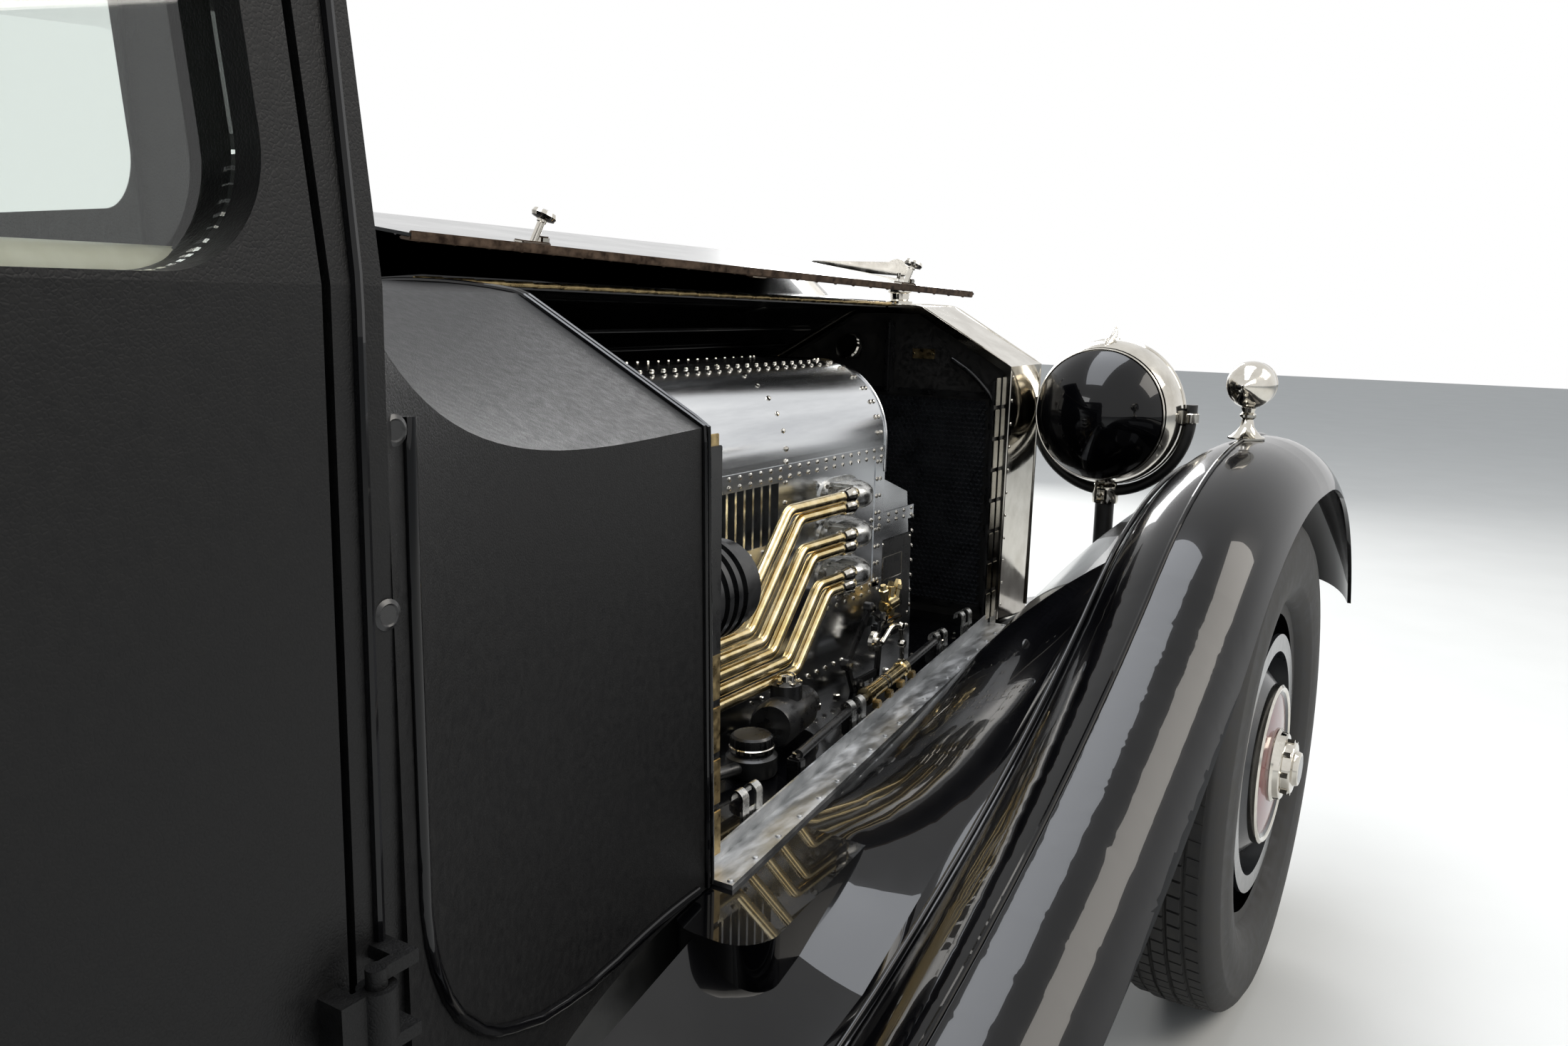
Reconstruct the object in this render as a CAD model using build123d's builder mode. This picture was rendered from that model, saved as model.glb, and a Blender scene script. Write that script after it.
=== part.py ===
"""A 1930s four-door luxury saloon on a separate chassis, with an aluminium drive cover in its engine bay.

Millimetres. +X is forward, +Y is the car's left, +Z is up. The origin is on the ground, midway between
the nose and the tail. The right half of the bonnet is stored open, folded over to the left.
"""
from build123d import *
from math import atan2, cos, pi, radians, sin, sqrt, tan
import os

os.makedirs("parts", exist_ok=True)

# Overall sizes
wheelbase = 3810.0
front_overhang = 650.0
rear_overhang = 940.0
track = 1486.0
front_axle_x = (wheelbase + rear_overhang - front_overhang) / 2
rear_axle_x = front_axle_x - wheelbase
nose_x = front_axle_x + front_overhang
tail_x = rear_axle_x - rear_overhang
wheel_y = track / 2

# Clearances
fit_gap = 0.3
panel_gap = 6.0

# Wheels and tyres
tyre_radius = 443.0
tyre_width = 188.0
tread_half = 70.0
tread_crown = 9.0
tyre_shoulder_radius = 420.0
tyre_bulge_radius = 366.0
seat_gap = 2.0
rim_radius = 268.0
rim_half = 62.0
flange_height = 17.0
disc_ring_radius = 130.0
hub_length = 128.0
bore_radius = 30.0
drum_radius = 205.0
drum_gap = 6.0
backplate_thickness = 9.0
drum_depth = 66.0
hub_z = tyre_radius
kingpin_y = 628.0
kingpin_radius = 14.0
backplate_y = wheel_y - drum_depth - 5.0

# Chassis
rail_width = 60.0
rail_bottom = 430.0
rail_top = 592.0
rail_shallow_bottom = 500.0
rail_y_rear = 430.0
rail_y_front = 262.0
iron_eye_radius = 30.0
iron_eye_z = 505.0
cross_tube_radius = 28.0
cross_tube_z = 545.0
carrier_width = 120.0
carrier_thickness = 10.0
carrier_boss_radius = 45.0
spring_width = 55.0
leaf_thickness = 9.0
leaf_count = 5
rear_spring_y = 400.0
rear_spring_half = 600.0
front_spring_y = rail_y_front - rail_width / 2
front_spring_half = front_overhang - iron_eye_radius - 8.0
axle_tube_radius = 42.0
beam_half_x = 24.0
beam_half_z = 30.0
beam_drop = 60.0

# Bonnet, scuttle and radiator shell
scuttle_front_x = front_axle_x - 1182.0
screen_x = front_axle_x - 1783.0
shell_rear_x = front_axle_x + 45.0
shell_depth = 165.0
shell_front_x = shell_rear_x + shell_depth
tray_thickness = 6.0
tray_top = rail_top + tray_thickness
shell_wall = 16.0
bonnet_rear_top = 1256.0
bonnet_rear_knee_y = 175.0
bonnet_rear_knee_drop = 10.0
bonnet_rear_shoulder_y = 430.0
bonnet_rear_shoulder_z = 1111.0
bonnet_front_top = 1234.0
bonnet_front_knee_y = 75.0
bonnet_front_knee_drop = 4.0
bonnet_front_shoulder_y = 272.0
bonnet_front_shoulder_z = 1120.0
ledge_thickness = 6.0
ledge_top = tray_top + ledge_thickness
bonnet_bottom_z = ledge_top + panel_gap
bonnet_rear_bottom_y = 436.0
bonnet_front_bottom_y = 266.0
bonnet_thickness = 4.0
hinge_offset = 2.5
centre_rod_radius = 3.5
shoulder_rod_radius = 3.0
open_top_angle = 186.0
open_side_angle = 104.0
ledge_width = 46.0
ledge_upstand = 24.0

# Body shell: heights of the sill, the waist and the roof edge, and places along the body
wall = 40.0
sill_z = 520.0
waist_z = 1247.0
cant_z = 1640.0
roof_top_z = 1765.0
widest_x = -700.0
tail_body_x = rear_axle_x - 440.0
screen_rake = 2.0
glass_thickness = 6.0
glass_inset = 17.0
corner_radius = 170.0
floor_thickness = 18.0
floor_notch_depth = 12.0
floor_notch_length = 80.0

# Doors
door_bottom_z = 566.0
door_top_z = 1596.0
front_shut_x = front_axle_x - 1823.0
pillar_x = -560.0
pillar_half = 24.0
rear_shut_x = -1120.0
door_hinge_out = 14.0
window_sill_z = 1251.0
window_frame = 28.0
window_top_z = 1566.0
window_corner = 62.0

# Wings, running boards and valances
wing_top_z = 1025.0
wing_outer_y = 873.0
wing_inner_y = 640.0
wing_lip_drop = 85.0
wing_thickness = 7.0
wing_flat = 70.0
wing_rear_radius = 930.0
wing_fall_angle = 32.0
wing_front_angle = 25.0
board_top_z = 430.0
board_thickness = 26.0
rear_wing_radius = 575.0
arch_radius = 535.0
arch_house_y = 540.0
arch_house_wall = 6.0

# Lamps
headlamp_x = front_axle_x + 220.0
headlamp_y = 420.0
headlamp_z = 1030.0
headlamp_radius = 145.0
sidelamp_x = front_axle_x - 61.0
sidelamp_z = 1116.0
sidelamp_radius = 40.0
sidelamp_y = 743.0
sidelamp_stem = 9.0
stay_z = 548.0

# Drive cover
cover_half_width = 200.0
cover_side_top = 1006.0
cover_shoulder_radius = 132.0
cover_rear_x = front_axle_x - 1090.0
cover_front_x = front_axle_x - 333.0
tube_radius = 8.5
nose_box_top = (940.0, 899.0)

# Trunk and spare wheel
trunk_half_width = 480.0
trunk_bottom_z = rail_top + fit_gap
trunk_top_z = 1150.0
trunk_lid_height = 60.0
trunk_wall = 14.0
spare_x = tail_x + hub_length
trunk_rear_x = spare_x + tyre_width / 2 + 16.0
spare_z = 800.0


def section_plane(x):
    """The plane across the car at x: its local x is the car's left, its local y is up."""
    return Plane(origin=(x, 0, 0), x_dir=(0, 1, 0), z_dir=(1, 0, 0))


def side_plane(y):
    """The plane along the car at y: its local x is forward, its local y is up, and it faces right."""
    return Plane(origin=(0, y, 0), x_dir=(1, 0, 0), z_dir=(0, -1, 0))


def finish(part, name):
    """Labels a finished piece and writes it."""
    part.label = name
    export_step(part, f"parts/{name}.step")


# Body volume by horizontal outlines
# height, x at the screen, half width there, widest half width, half width at the tail, x of the tail
screen_lean = tan(radians(screen_rake)) * (cant_z - waist_z)
body_levels = [
    (sill_z, screen_x, 640.0, 715.0, 590.0, tail_body_x + 40.0),
    (waist_z, screen_x, 650.0, 740.0, 620.0, tail_body_x),
    (cant_z, screen_x - screen_lean, 615.0, 655.0, 520.0, tail_body_x + 190.0),
]


def body_outline(level, inset):
    """One horizontal outline of the body, moved inwards by inset."""
    height, front_x, front_half, widest, tail_half, rear_x = level
    front = front_x - inset
    rear = rear_x + inset
    front_y = front_half - inset
    wide_y = widest - inset
    rear_y = tail_half - inset
    corner = corner_radius - inset / 4
    with BuildSketch(Plane.XY.offset(height)) as outline:
        with BuildLine():
            Line((front, -front_y), (front, front_y))
            ThreePointArc((front, front_y), (widest_x, wide_y), (rear + corner, rear_y))
            ThreePointArc(
                (rear + corner, rear_y),
                (rear + corner * 0.29, rear_y - corner * 0.25),
                (rear, rear_y - corner),
            )
            Line((rear, rear_y - corner), (rear, corner - rear_y))
            ThreePointArc(
                (rear, corner - rear_y),
                (rear + corner * 0.29, corner * 0.25 - rear_y),
                (rear + corner, -rear_y),
            )
            ThreePointArc((rear + corner, -rear_y), (widest_x, -wide_y), (front, -front_y))
        make_face()
    return outline.sketch


def body_volume(inset):
    """The space inside the body's outer surface moved inwards by inset, from the sill to the roof edge."""
    with BuildPart() as volume:
        loft(sections=[body_outline(level, inset) for level in body_levels], ruled=True)
    return volume.part


body_outer = body_volume(0.0)
body_inner = body_volume(wall)

with BuildPart() as body_wall:
    add(body_outer)
    add(body_inner, mode=Mode.SUBTRACT)


def body_half_width(x, level):
    """Half width of the outer body at x for one outline, by the circle through its three side points."""
    height, front_x, front_half, widest, tail_half, rear_x = level
    x1, y1 = front_x, front_half
    x2, y2 = widest_x, widest
    x3, y3 = rear_x + corner_radius, tail_half
    a = x1 * (y2 - y3) - y1 * (x2 - x3) + x2 * y3 - x3 * y2
    b = (x1**2 + y1**2) * (y3 - y2) + (x2**2 + y2**2) * (y1 - y3) + (x3**2 + y3**2) * (y2 - y1)
    c = (x1**2 + y1**2) * (x2 - x3) + (x2**2 + y2**2) * (x3 - x1) + (x3**2 + y3**2) * (x1 - x2)
    cx, cy = -b / (2 * a), -c / (2 * a)
    radius = sqrt((x1 - cx) ** 2 + (y1 - cy) ** 2)
    return cy + sqrt(radius**2 - (x - cx) ** 2)


# Doors: name, x of the hinge edge, x of the free edge, forward lean of the top of the leading edge
front_door_top_x = front_shut_x - screen_lean
front_hinge = (front_shut_x, body_half_width(front_shut_x, body_levels[1]) + door_hinge_out)
rear_hinge = (rear_shut_x, body_half_width(rear_shut_x, body_levels[1]) + door_hinge_out)
front_door_reach = front_shut_x - (pillar_x + pillar_half)
rear_door_reach = (pillar_x - pillar_half) - rear_shut_x


def door_block(leading_low, leading_high, trailing, hinge, reach, grow):
    """A block through the right-hand wall with a door's side outline, grown outwards by grow."""
    with BuildPart() as block:
        with BuildSketch(side_plane(-wing_inner_y + 140.0)):
            with BuildLine():
                Polyline(
                    (leading_low + grow, door_bottom_z - grow),
                    (leading_low + grow, waist_z),
                    (leading_high + grow, door_top_z + grow),
                    (trailing - grow, door_top_z + grow),
                    (trailing - grow, door_bottom_z - grow),
                    close=True,
                )
            make_face()
        extrude(amount=320.0)
        with BuildSketch(Plane.XY.offset(sill_z)):
            with Locations((hinge[0], -hinge[1])):
                Circle(reach + grow)
        extrude(amount=cant_z - sill_z, mode=Mode.INTERSECT)
    return block.part


def window_block(leading_low, leading_high, trailing):
    """A block through the right-hand wall with a door window's side outline."""
    with BuildPart() as block:
        with BuildSketch(side_plane(-wing_inner_y + 140.0)):
            with BuildLine():
                FilletPolyline(
                    (leading_low, window_sill_z),
                    (leading_high, window_top_z),
                    (trailing, window_top_z),
                    (trailing, window_sill_z),
                    radius=window_corner,
                    close=True,
                )
            make_face()
        extrude(amount=320.0)
    return block.part


spare_reach = 40.0
front_open_block = door_block(
    front_shut_x, front_door_top_x, pillar_x - spare_reach, front_hinge, front_door_reach, panel_gap / 2
)
front_door_block = door_block(
    front_shut_x, front_door_top_x, pillar_x - spare_reach, front_hinge, front_door_reach, -panel_gap / 2
)
rear_open_block = door_block(
    pillar_x + spare_reach, pillar_x + spare_reach, rear_shut_x, rear_hinge, rear_door_reach, panel_gap / 2
)
rear_door_block = door_block(
    pillar_x + spare_reach, pillar_x + spare_reach, rear_shut_x, rear_hinge, rear_door_reach, -panel_gap / 2
)
front_window_block = window_block(
    front_shut_x - window_frame, front_door_top_x - window_frame, pillar_x + pillar_half + 62.0
)
rear_window_block = window_block(
    pillar_x - pillar_half - 66.0, pillar_x - pillar_half - 66.0, rear_shut_x + 56.0
)

# External hinges: lugs and a pin on the body, a collar round the pin on the door
front_hinge_heights = (860.0, 1500.0)
rear_hinge_heights = (720.0, 1180.0)
hinge_pin_radius = 6.0
lug_half = 4.0
lug_reach = 26.0
lug_depth = 50.0
collar_radius = 11.0
collar_half = 15.0
lug_gap = 3.0
lug_height = 8.0


def hinge_arm(hinge, away, low, height):
    """A bent strap from a right-hand hinge axis into the panel that lies on its away side."""
    x, y = hinge[0], -hinge[1]
    with BuildPart() as arm:
        with BuildSketch(Plane.XY.offset(low)):
            with BuildLine():
                Polyline(
                    (x, y - lug_half),
                    (x + away * lug_reach, y - lug_half),
                    (x + away * lug_reach, y + lug_depth),
                    (x + away * lug_reach / 2, y + lug_depth),
                    (x + away * lug_reach / 2, y + lug_half),
                    (x, y + lug_half),
                    close=True,
                )
            make_face()
        extrude(amount=height)
    return arm.part


def body_lugs(hinge, away, heights):
    """The body's half of a door's hinges."""
    x, y = hinge[0], -hinge[1]
    lug_start = collar_half + lug_gap
    with BuildPart() as lugs:
        for z in heights:
            add(hinge_arm(hinge, away, z + lug_start, lug_height))
            add(hinge_arm(hinge, away, z - lug_start - lug_height, lug_height))
            with BuildSketch(Plane.XY.offset(z - lug_start - lug_height)):
                with Locations((x, y)):
                    Circle(hinge_pin_radius)
            extrude(amount=2.0 * (lug_start + lug_height))
    return lugs.part


def door_collars(hinge, away, heights):
    """The door's half of its hinges, still without the pin's hole."""
    x, y = hinge[0], -hinge[1]
    with BuildPart() as collars:
        for z in heights:
            add(hinge_arm(hinge, away, z - collar_half, 2.0 * collar_half))
            with BuildSketch(Plane.XY.offset(z - collar_half)):
                with Locations((x, y)):
                    Circle(collar_radius)
            extrude(amount=2.0 * collar_half)
    return collars.part


with BuildPart() as glass_skin:
    add(body_volume(glass_inset))
    add(body_volume(glass_inset + glass_thickness), mode=Mode.SUBTRACT)

# Body shell with its door openings, quarter windows, screen opening, rear window and wheel arches
quarter_front_x = rear_shut_x - 90.0
quarter_rear_x = rear_axle_x - 60.0
screen_half_width = 500.0
screen_bottom_z = waist_z + 40.0
screen_top_z = cant_z - 45.0
rear_window_half = 270.0
rear_window_bottom = 1330.0
rear_window_top = 1520.0

with BuildPart() as screen_block:
    with BuildSketch(section_plane(screen_x - 220.0)):
        with BuildLine():
            FilletPolyline(
                (-screen_half_width, screen_bottom_z),
                (screen_half_width, screen_bottom_z),
                (screen_half_width - 25.0, screen_top_z),
                (25.0 - screen_half_width, screen_top_z),
                radius=30.0,
                close=True,
            )
        make_face()
    extrude(amount=260.0)

with BuildPart() as back_block:
    with BuildSketch(section_plane(tail_body_x - 50.0)):
        with BuildLine():
            FilletPolyline(
                (-rear_window_half, rear_window_bottom),
                (rear_window_half, rear_window_bottom),
                (rear_window_half, rear_window_top),
                (-rear_window_half, rear_window_top),
                radius=60.0,
                close=True,
            )
        make_face()
    extrude(amount=330.0)

with BuildPart() as quarter_block:
    with BuildSketch(side_plane(-wing_inner_y + 190.0)):
        with BuildLine():
            FilletPolyline(
                (quarter_front_x, window_sill_z),
                (quarter_front_x, window_top_z),
                (quarter_rear_x + 60.0, window_top_z),
                (quarter_rear_x, window_sill_z),
                radius=window_corner,
                close=True,
            )
        make_face()
    extrude(amount=320.0)

with BuildPart() as body_shell:
    add(body_wall.part)
    add(front_open_block, mode=Mode.SUBTRACT)
    add(rear_open_block, mode=Mode.SUBTRACT)
    add(quarter_block.part, mode=Mode.SUBTRACT)
    with BuildSketch(side_plane(-arch_house_y)):
        with Locations((rear_axle_x, hub_z)):
            Circle(arch_radius)
    extrude(amount=400.0, mode=Mode.SUBTRACT)
    split(bisect_by=Plane.XZ, keep=Keep.TOP)
    add(body_lugs(front_hinge, 1, front_hinge_heights))
    add(body_lugs(rear_hinge, -1, rear_hinge_heights))
    mirror(about=Plane.XZ)
    add(screen_block.part, mode=Mode.SUBTRACT)
    add(back_block.part, mode=Mode.SUBTRACT)
    # Notch over the chassis rails at the tail, then the scuttle's open end
    with BuildSketch(Plane.XY.offset(sill_z - 10.0)):
        with Locations((tail_body_x + 50.0, 0)):
            Rectangle(240.0, 2.0 * rail_y_rear + 20.0)
    extrude(amount=rail_top - sill_z + 10.0, mode=Mode.SUBTRACT)
    with BuildSketch(section_plane(screen_x - wall * 2)):
        with BuildLine():
            FilletPolyline(
                (-580.0, sill_z - 10.0),
                (580.0, sill_z - 10.0),
                (560.0, waist_z - 60.0),
                (-560.0, waist_z - 60.0),
                radius=40.0,
                close=True,
            )
        make_face()
    extrude(amount=wall * 3, mode=Mode.SUBTRACT)
finish(body_shell.part, "body_shell")


def pane(block):
    """The sheet of glass that fills a window block."""
    with BuildPart() as sheet:
        add(glass_skin.part)
        add(block, mode=Mode.INTERSECT)
    return sheet.part


with BuildPart() as fixed_glass:
    for block in (screen_block.part, back_block.part, quarter_block.part):
        add(pane(block))
    add(mirror(pane(quarter_block.part), about=Plane.XZ))
finish(fixed_glass.part, "fixed_glass")

door_table = [
    ("door_front", front_door_block, front_window_block, front_hinge, -1, front_hinge_heights),
    ("door_rear", rear_door_block, rear_window_block, rear_hinge, 1, rear_hinge_heights),
]
for name, block, window, hinge, away, heights in door_table:
    with BuildPart() as door_right:
        add(body_wall.part)
        add(block, mode=Mode.INTERSECT)
        add(window, mode=Mode.SUBTRACT)
        add(door_collars(hinge, away, heights))
        with BuildSketch(Plane.XY.offset(sill_z)):
            with Locations((hinge[0], -hinge[1])):
                Circle(hinge_pin_radius + fit_gap)
        extrude(amount=cant_z - sill_z, mode=Mode.SUBTRACT)
    glass_right = pane(window)
    finish(door_right.part, f"{name}_right")
    finish(glass_right, f"{name}_glass_right")
    finish(mirror(door_right.part, about=Plane.XZ), f"{name}_left")
    finish(mirror(glass_right, about=Plane.XZ), f"{name}_glass_left")

# Roof: a dome on the body's top outline, as thick as the walls at its edge
roof_rise = roof_top_z - cant_z
roof_levels = [
    (0.0, 0.0),
    (0.56 * roof_rise, 38.0),
    (0.864 * roof_rise, 120.0),
    (roof_rise, 300.0),
]
roof_skin = 24.0


def roof_volume(inset, lowered):
    """The dome's volume moved inwards by inset, with its crown lowered."""
    sections = []
    for rise, step in roof_levels:
        share = rise / roof_levels[-1][0]
        level = (cant_z + rise - lowered * share,) + body_levels[2][1:]
        sections.append(body_outline(level, inset + step))
    with BuildPart() as volume:
        loft(sections=sections)
    return volume.part


with BuildPart() as roof:
    add(roof_volume(0.0, 0.0))
    add(roof_volume(wall, roof_skin), mode=Mode.SUBTRACT)
finish(roof.part, "roof")

# Scuttle: a hollow trumpet from the bonnet's rear edge out to the body
# distance behind the front edge, half width at the bottom, shoulder half width, shoulder height, knee, top
scuttle_length = scuttle_front_x - screen_x
scuttle_top_z = 1256.0
scuttle_knee_drop = 12.0
scuttle_bottom_z = 600.0
scuttle_skin = 16.0
scuttle_sections = [
    (
        0.0, bonnet_rear_bottom_y + 4.0, bonnet_rear_shoulder_y, bonnet_rear_shoulder_z,
        bonnet_rear_knee_y, scuttle_top_z,
    ),
    (200.0, 474.0, 472.0, 1113.0, 190.0, scuttle_top_z + 1.0),
    (400.0, 540.0, 537.0, 1136.0, 220.0, scuttle_top_z + 3.0),
    (scuttle_length, 650.0, 648.0, 1216.0, 280.0, scuttle_top_z + 7.0),
]


def scuttle_section(row, inset):
    """One cross-section of the scuttle, moved inwards by inset."""
    back, bottom_y, shoulder_y, shoulder_z, knee_y, top = row
    knee_z = top - scuttle_knee_drop - inset
    with BuildSketch(section_plane(scuttle_front_x - back)) as section:
        with BuildLine():
            Line((bottom_y - inset, scuttle_bottom_z - inset), (inset - bottom_y, scuttle_bottom_z - inset))
            Line((inset - bottom_y, scuttle_bottom_z - inset), (inset - shoulder_y, shoulder_z - inset / 2))
            Line((inset - shoulder_y, shoulder_z - inset / 2), (-knee_y, knee_z))
            ThreePointArc((-knee_y, knee_z), (0, top - inset), (knee_y, knee_z))
            Line((knee_y, knee_z), (shoulder_y - inset, shoulder_z - inset / 2))
            Line((shoulder_y - inset, shoulder_z - inset / 2), (bottom_y - inset, scuttle_bottom_z - inset))
        make_face()
    return section.sketch


with BuildPart() as scuttle:
    loft(sections=[scuttle_section(row, 0.0) for row in scuttle_sections])
    loft(sections=[scuttle_section(row, scuttle_skin) for row in scuttle_sections], mode=Mode.SUBTRACT)
finish(scuttle.part, "scuttle")


# Floor on the chassis rails, with a toe board that runs forward inside the scuttle
bulkhead_thickness = 6.0
bulkhead_rear_x = scuttle_front_x - bulkhead_thickness

with BuildPart() as arch_drums:
    with BuildSketch(side_plane(-arch_house_y)):
        with Locations((rear_axle_x, hub_z)):
            Circle(arch_radius)
    extrude(amount=300.0)
    mirror(about=Plane.XZ)

floor_edge = body_half_width(front_shut_x, body_levels[0]) - wall
with BuildPart() as floor:
    with BuildSketch(Plane.XY.offset(rail_top)):
        Rectangle(6000.0, 2000.0)
    extrude(amount=floor_thickness)
    add(body_inner, mode=Mode.INTERSECT)
    with BuildSketch(Plane.XY.offset(rail_top)):
        with BuildLine():
            Polyline(
                (bulkhead_rear_x, 418.0),
                (scuttle_front_x - 200.0, 450.0),
                (scuttle_front_x - 400.0, 506.0),
                (screen_x - wall, 560.0),
                (screen_x - wall, -560.0),
                (scuttle_front_x - 400.0, -506.0),
                (scuttle_front_x - 200.0, -450.0),
                (bulkhead_rear_x, -418.0),
                close=True,
            )
        make_face()
    extrude(amount=floor_thickness)
    add(arch_drums.part, mode=Mode.SUBTRACT)
    # Room for the front doors' inner corners as they swing
    with BuildSketch(Plane.XY.offset(rail_top)):
        for side in (-1, 1):
            with Locations((front_shut_x + 10.0, side * (floor_edge - floor_notch_depth))):
                Rectangle(floor_notch_length, 40.0, align=(Align.MAX, Align.MIN if side > 0 else Align.MAX))
    extrude(amount=floor_thickness, mode=Mode.SUBTRACT)
finish(floor.part, "floor")

with BuildPart() as bulkhead:
    front_section = scuttle_section(scuttle_sections[0], scuttle_skin + fit_gap)
    extrude(to_extrude=front_section, amount=-bulkhead_thickness)
    with BuildSketch(Plane.XY):
        Rectangle(4000.0, 4000.0)
    extrude(amount=rail_top, mode=Mode.SUBTRACT)
finish(bulkhead.part, "bulkhead")

# Instrument board behind the screen, and the steering column's jacket that hangs from it
dash_bottom_z = 1085.0
dash_half_width = 565.0
dash_thickness = 22.0
dash_rear_x = screen_x - wall - dash_thickness
dial_spacing = 130.0
dial_z = 1160.0
dial_radius = 48.0
dial_depth = 8.0
steering_y = -340.0
column_angle = 24.0
wheel_centre_x = screen_x - 400.0
wheel_centre_z = 1120.0
column_radius = 20.0
column_foot_radius = 46.0
column_drop_width = 28.0
shaft_radius = 11.0
rim_radius = 215.0
rim_grip = 12.0
spoke_width = 15.0
steering_hub_radius = 34.0
column_run = (bulkhead_rear_x - wheel_centre_x) / cos(radians(column_angle))
column_plane = Plane(
    origin=(wheel_centre_x, steering_y, wheel_centre_z),
    x_dir=(0, 1, 0),
    z_dir=(cos(radians(column_angle)), 0, -sin(radians(column_angle))),
)


def column_z(x):
    """Height of the steering column's centre line at x."""
    return wheel_centre_z - (x - wheel_centre_x) * tan(radians(column_angle))


with BuildPart() as dashboard:
    shoulder = (dash_half_width - 5.0, waist_z - 45.0)
    with BuildSketch(section_plane(dash_rear_x)):
        with BuildLine():
            Line((-dash_half_width, dash_bottom_z), (dash_half_width, dash_bottom_z))
            Line((dash_half_width, dash_bottom_z), shoulder)
            ThreePointArc(shoulder, (0, waist_z - 1.0), (-shoulder[0], shoulder[1]))
            Line((-shoulder[0], shoulder[1]), (-dash_half_width, dash_bottom_z))
        make_face()
    extrude(amount=dash_thickness)
    with BuildSketch(section_plane(dash_rear_x)):
        with Locations((-dial_spacing, dial_z), (dial_spacing, dial_z), (0, dial_z)):
            Circle(dial_radius)
    extrude(amount=dial_depth, mode=Mode.SUBTRACT)
    fillet(dashboard.edges().filter_by(GeomType.CIRCLE).group_by(Axis.X)[0], radius=1.5)
finish(dashboard.part, "dashboard")

with BuildPart() as steering_column:
    with BuildSketch(column_plane.offset(90.0)):
        Circle(column_radius)
    extrude(amount=column_run - 110.0)
    with BuildSketch(column_plane.offset(80.0)):
        Circle(shaft_radius + fit_gap)
    extrude(amount=170.0, mode=Mode.SUBTRACT)
    with BuildSketch(side_plane(steering_y + column_drop_width / 2)):
        with BuildLine():
            Polyline(
                (dash_rear_x + 2.0, dash_bottom_z),
                (dash_rear_x + dash_thickness - 2.0, dash_bottom_z),
                (dash_rear_x + 30.0, column_z(dash_rear_x + 30.0)),
                (dash_rear_x - 12.0, column_z(dash_rear_x - 12.0)),
                close=True,
            )
        make_face()
    extrude(amount=column_drop_width)
    with BuildSketch(section_plane(bulkhead_rear_x)):
        with Locations((steering_y, column_z(bulkhead_rear_x))):
            Circle(column_foot_radius)
    extrude(amount=-30.0)
finish(steering_column.part, "steering_column")

with BuildPart() as steering_wheel:
    with BuildSketch(Plane(origin=column_plane.origin, x_dir=column_plane.z_dir, z_dir=(0, 1, 0))):
        with Locations((0, rim_radius)):
            Circle(rim_grip)
    revolve(axis=Axis(column_plane.origin, column_plane.z_dir))
    with BuildSketch(column_plane):
        with PolarLocations(rim_radius / 2, 4, start_angle=45.0):
            Rectangle(rim_radius - 1.0, spoke_width)
    extrude(amount=5.0, both=True)
    with BuildSketch(column_plane.offset(-12.0)):
        Circle(steering_hub_radius)
    extrude(amount=42.0)
    with BuildSketch(column_plane):
        Circle(shaft_radius)
    extrude(amount=240.0)
finish(steering_wheel.part, "steering_wheel")

# Seats: plain solids at their real size
# name, inner and outer half width, front, back, height of the cushion and of the back rest
seat_slope = 25.0
seat_edge_radius = 32.0
seat_table = [
    ("front_seats", 70.0, 560.0, -250.0, -700.0, 860.0, 1380.0),
    ("rear_seat", 0.0, 530.0, -1150.0, -1650.0, 880.0, 1400.0),
]
for name, inner_y, outer_y, front, back, cushion_top, back_top in seat_table:
    with BuildPart() as seat:
        low_y = inner_y if inner_y else -outer_y
        with BuildSketch(side_plane(outer_y)):
            with BuildLine():
                Polyline(
                    (front, rail_top + floor_thickness),
                    (front, cushion_top),
                    (back + 130.0, cushion_top - seat_slope),
                    (back + 40.0, back_top),
                    (back - 60.0, back_top),
                    (back - 10.0, rail_top + floor_thickness),
                    close=True,
                )
            make_face()
        extrude(amount=outer_y - low_y)
        fillet(seat.edges().filter_by(Axis.Y).sort_by(Axis.Z)[2:], radius=seat_edge_radius)
        if inner_y:
            mirror(about=Plane.XZ)
    finish(seat.part, name)


# Bonnet: four panels about a centre hinge and two shoulder hinges
def mitred(points, shift):
    """The inner points of a polyline moved to its left by shift, with mitred corners."""
    moved = []
    for before, here, after in zip(points, points[1:], points[2:]):
        into = (Vector(*here) - Vector(*before)).normalized()
        out = (Vector(*after) - Vector(*here)).normalized()
        left = (Vector(-into.Y, into.X) + Vector(-out.Y, out.X)).normalized()
        moved.append(Vector(*here) + left * (shift / left.dot(Vector(-into.Y, into.X))))
    return [(point.X, point.Y) for point in moved]


# x, top, knee half width, shoulder half width, shoulder height, half width at the bottom, knee radius
bonnet_rear = (
    scuttle_front_x + panel_gap, bonnet_rear_top, bonnet_rear_knee_y, bonnet_rear_shoulder_y,
    bonnet_rear_shoulder_z, bonnet_rear_bottom_y, 240.0, bonnet_rear_knee_drop,
)
bonnet_front = (
    shell_rear_x - panel_gap, bonnet_front_top, bonnet_front_knee_y, bonnet_front_shoulder_y,
    bonnet_front_shoulder_z, bonnet_front_bottom_y, 120.0, bonnet_front_knee_drop,
)
hinge_depth = bonnet_thickness + hinge_offset
panel_edge_y = 3.0


def bonnet_outline(row):
    """The right half's outline from the centre to the bottom edge, as y and z."""
    x, top, knee_y, shoulder_y, shoulder_z, bottom_y, radius, knee_drop = row
    return [
        (-panel_edge_y, top),
        (-knee_y, top - knee_drop),
        (-shoulder_y, shoulder_z),
        (-bottom_y, bonnet_bottom_z),
    ]


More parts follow.
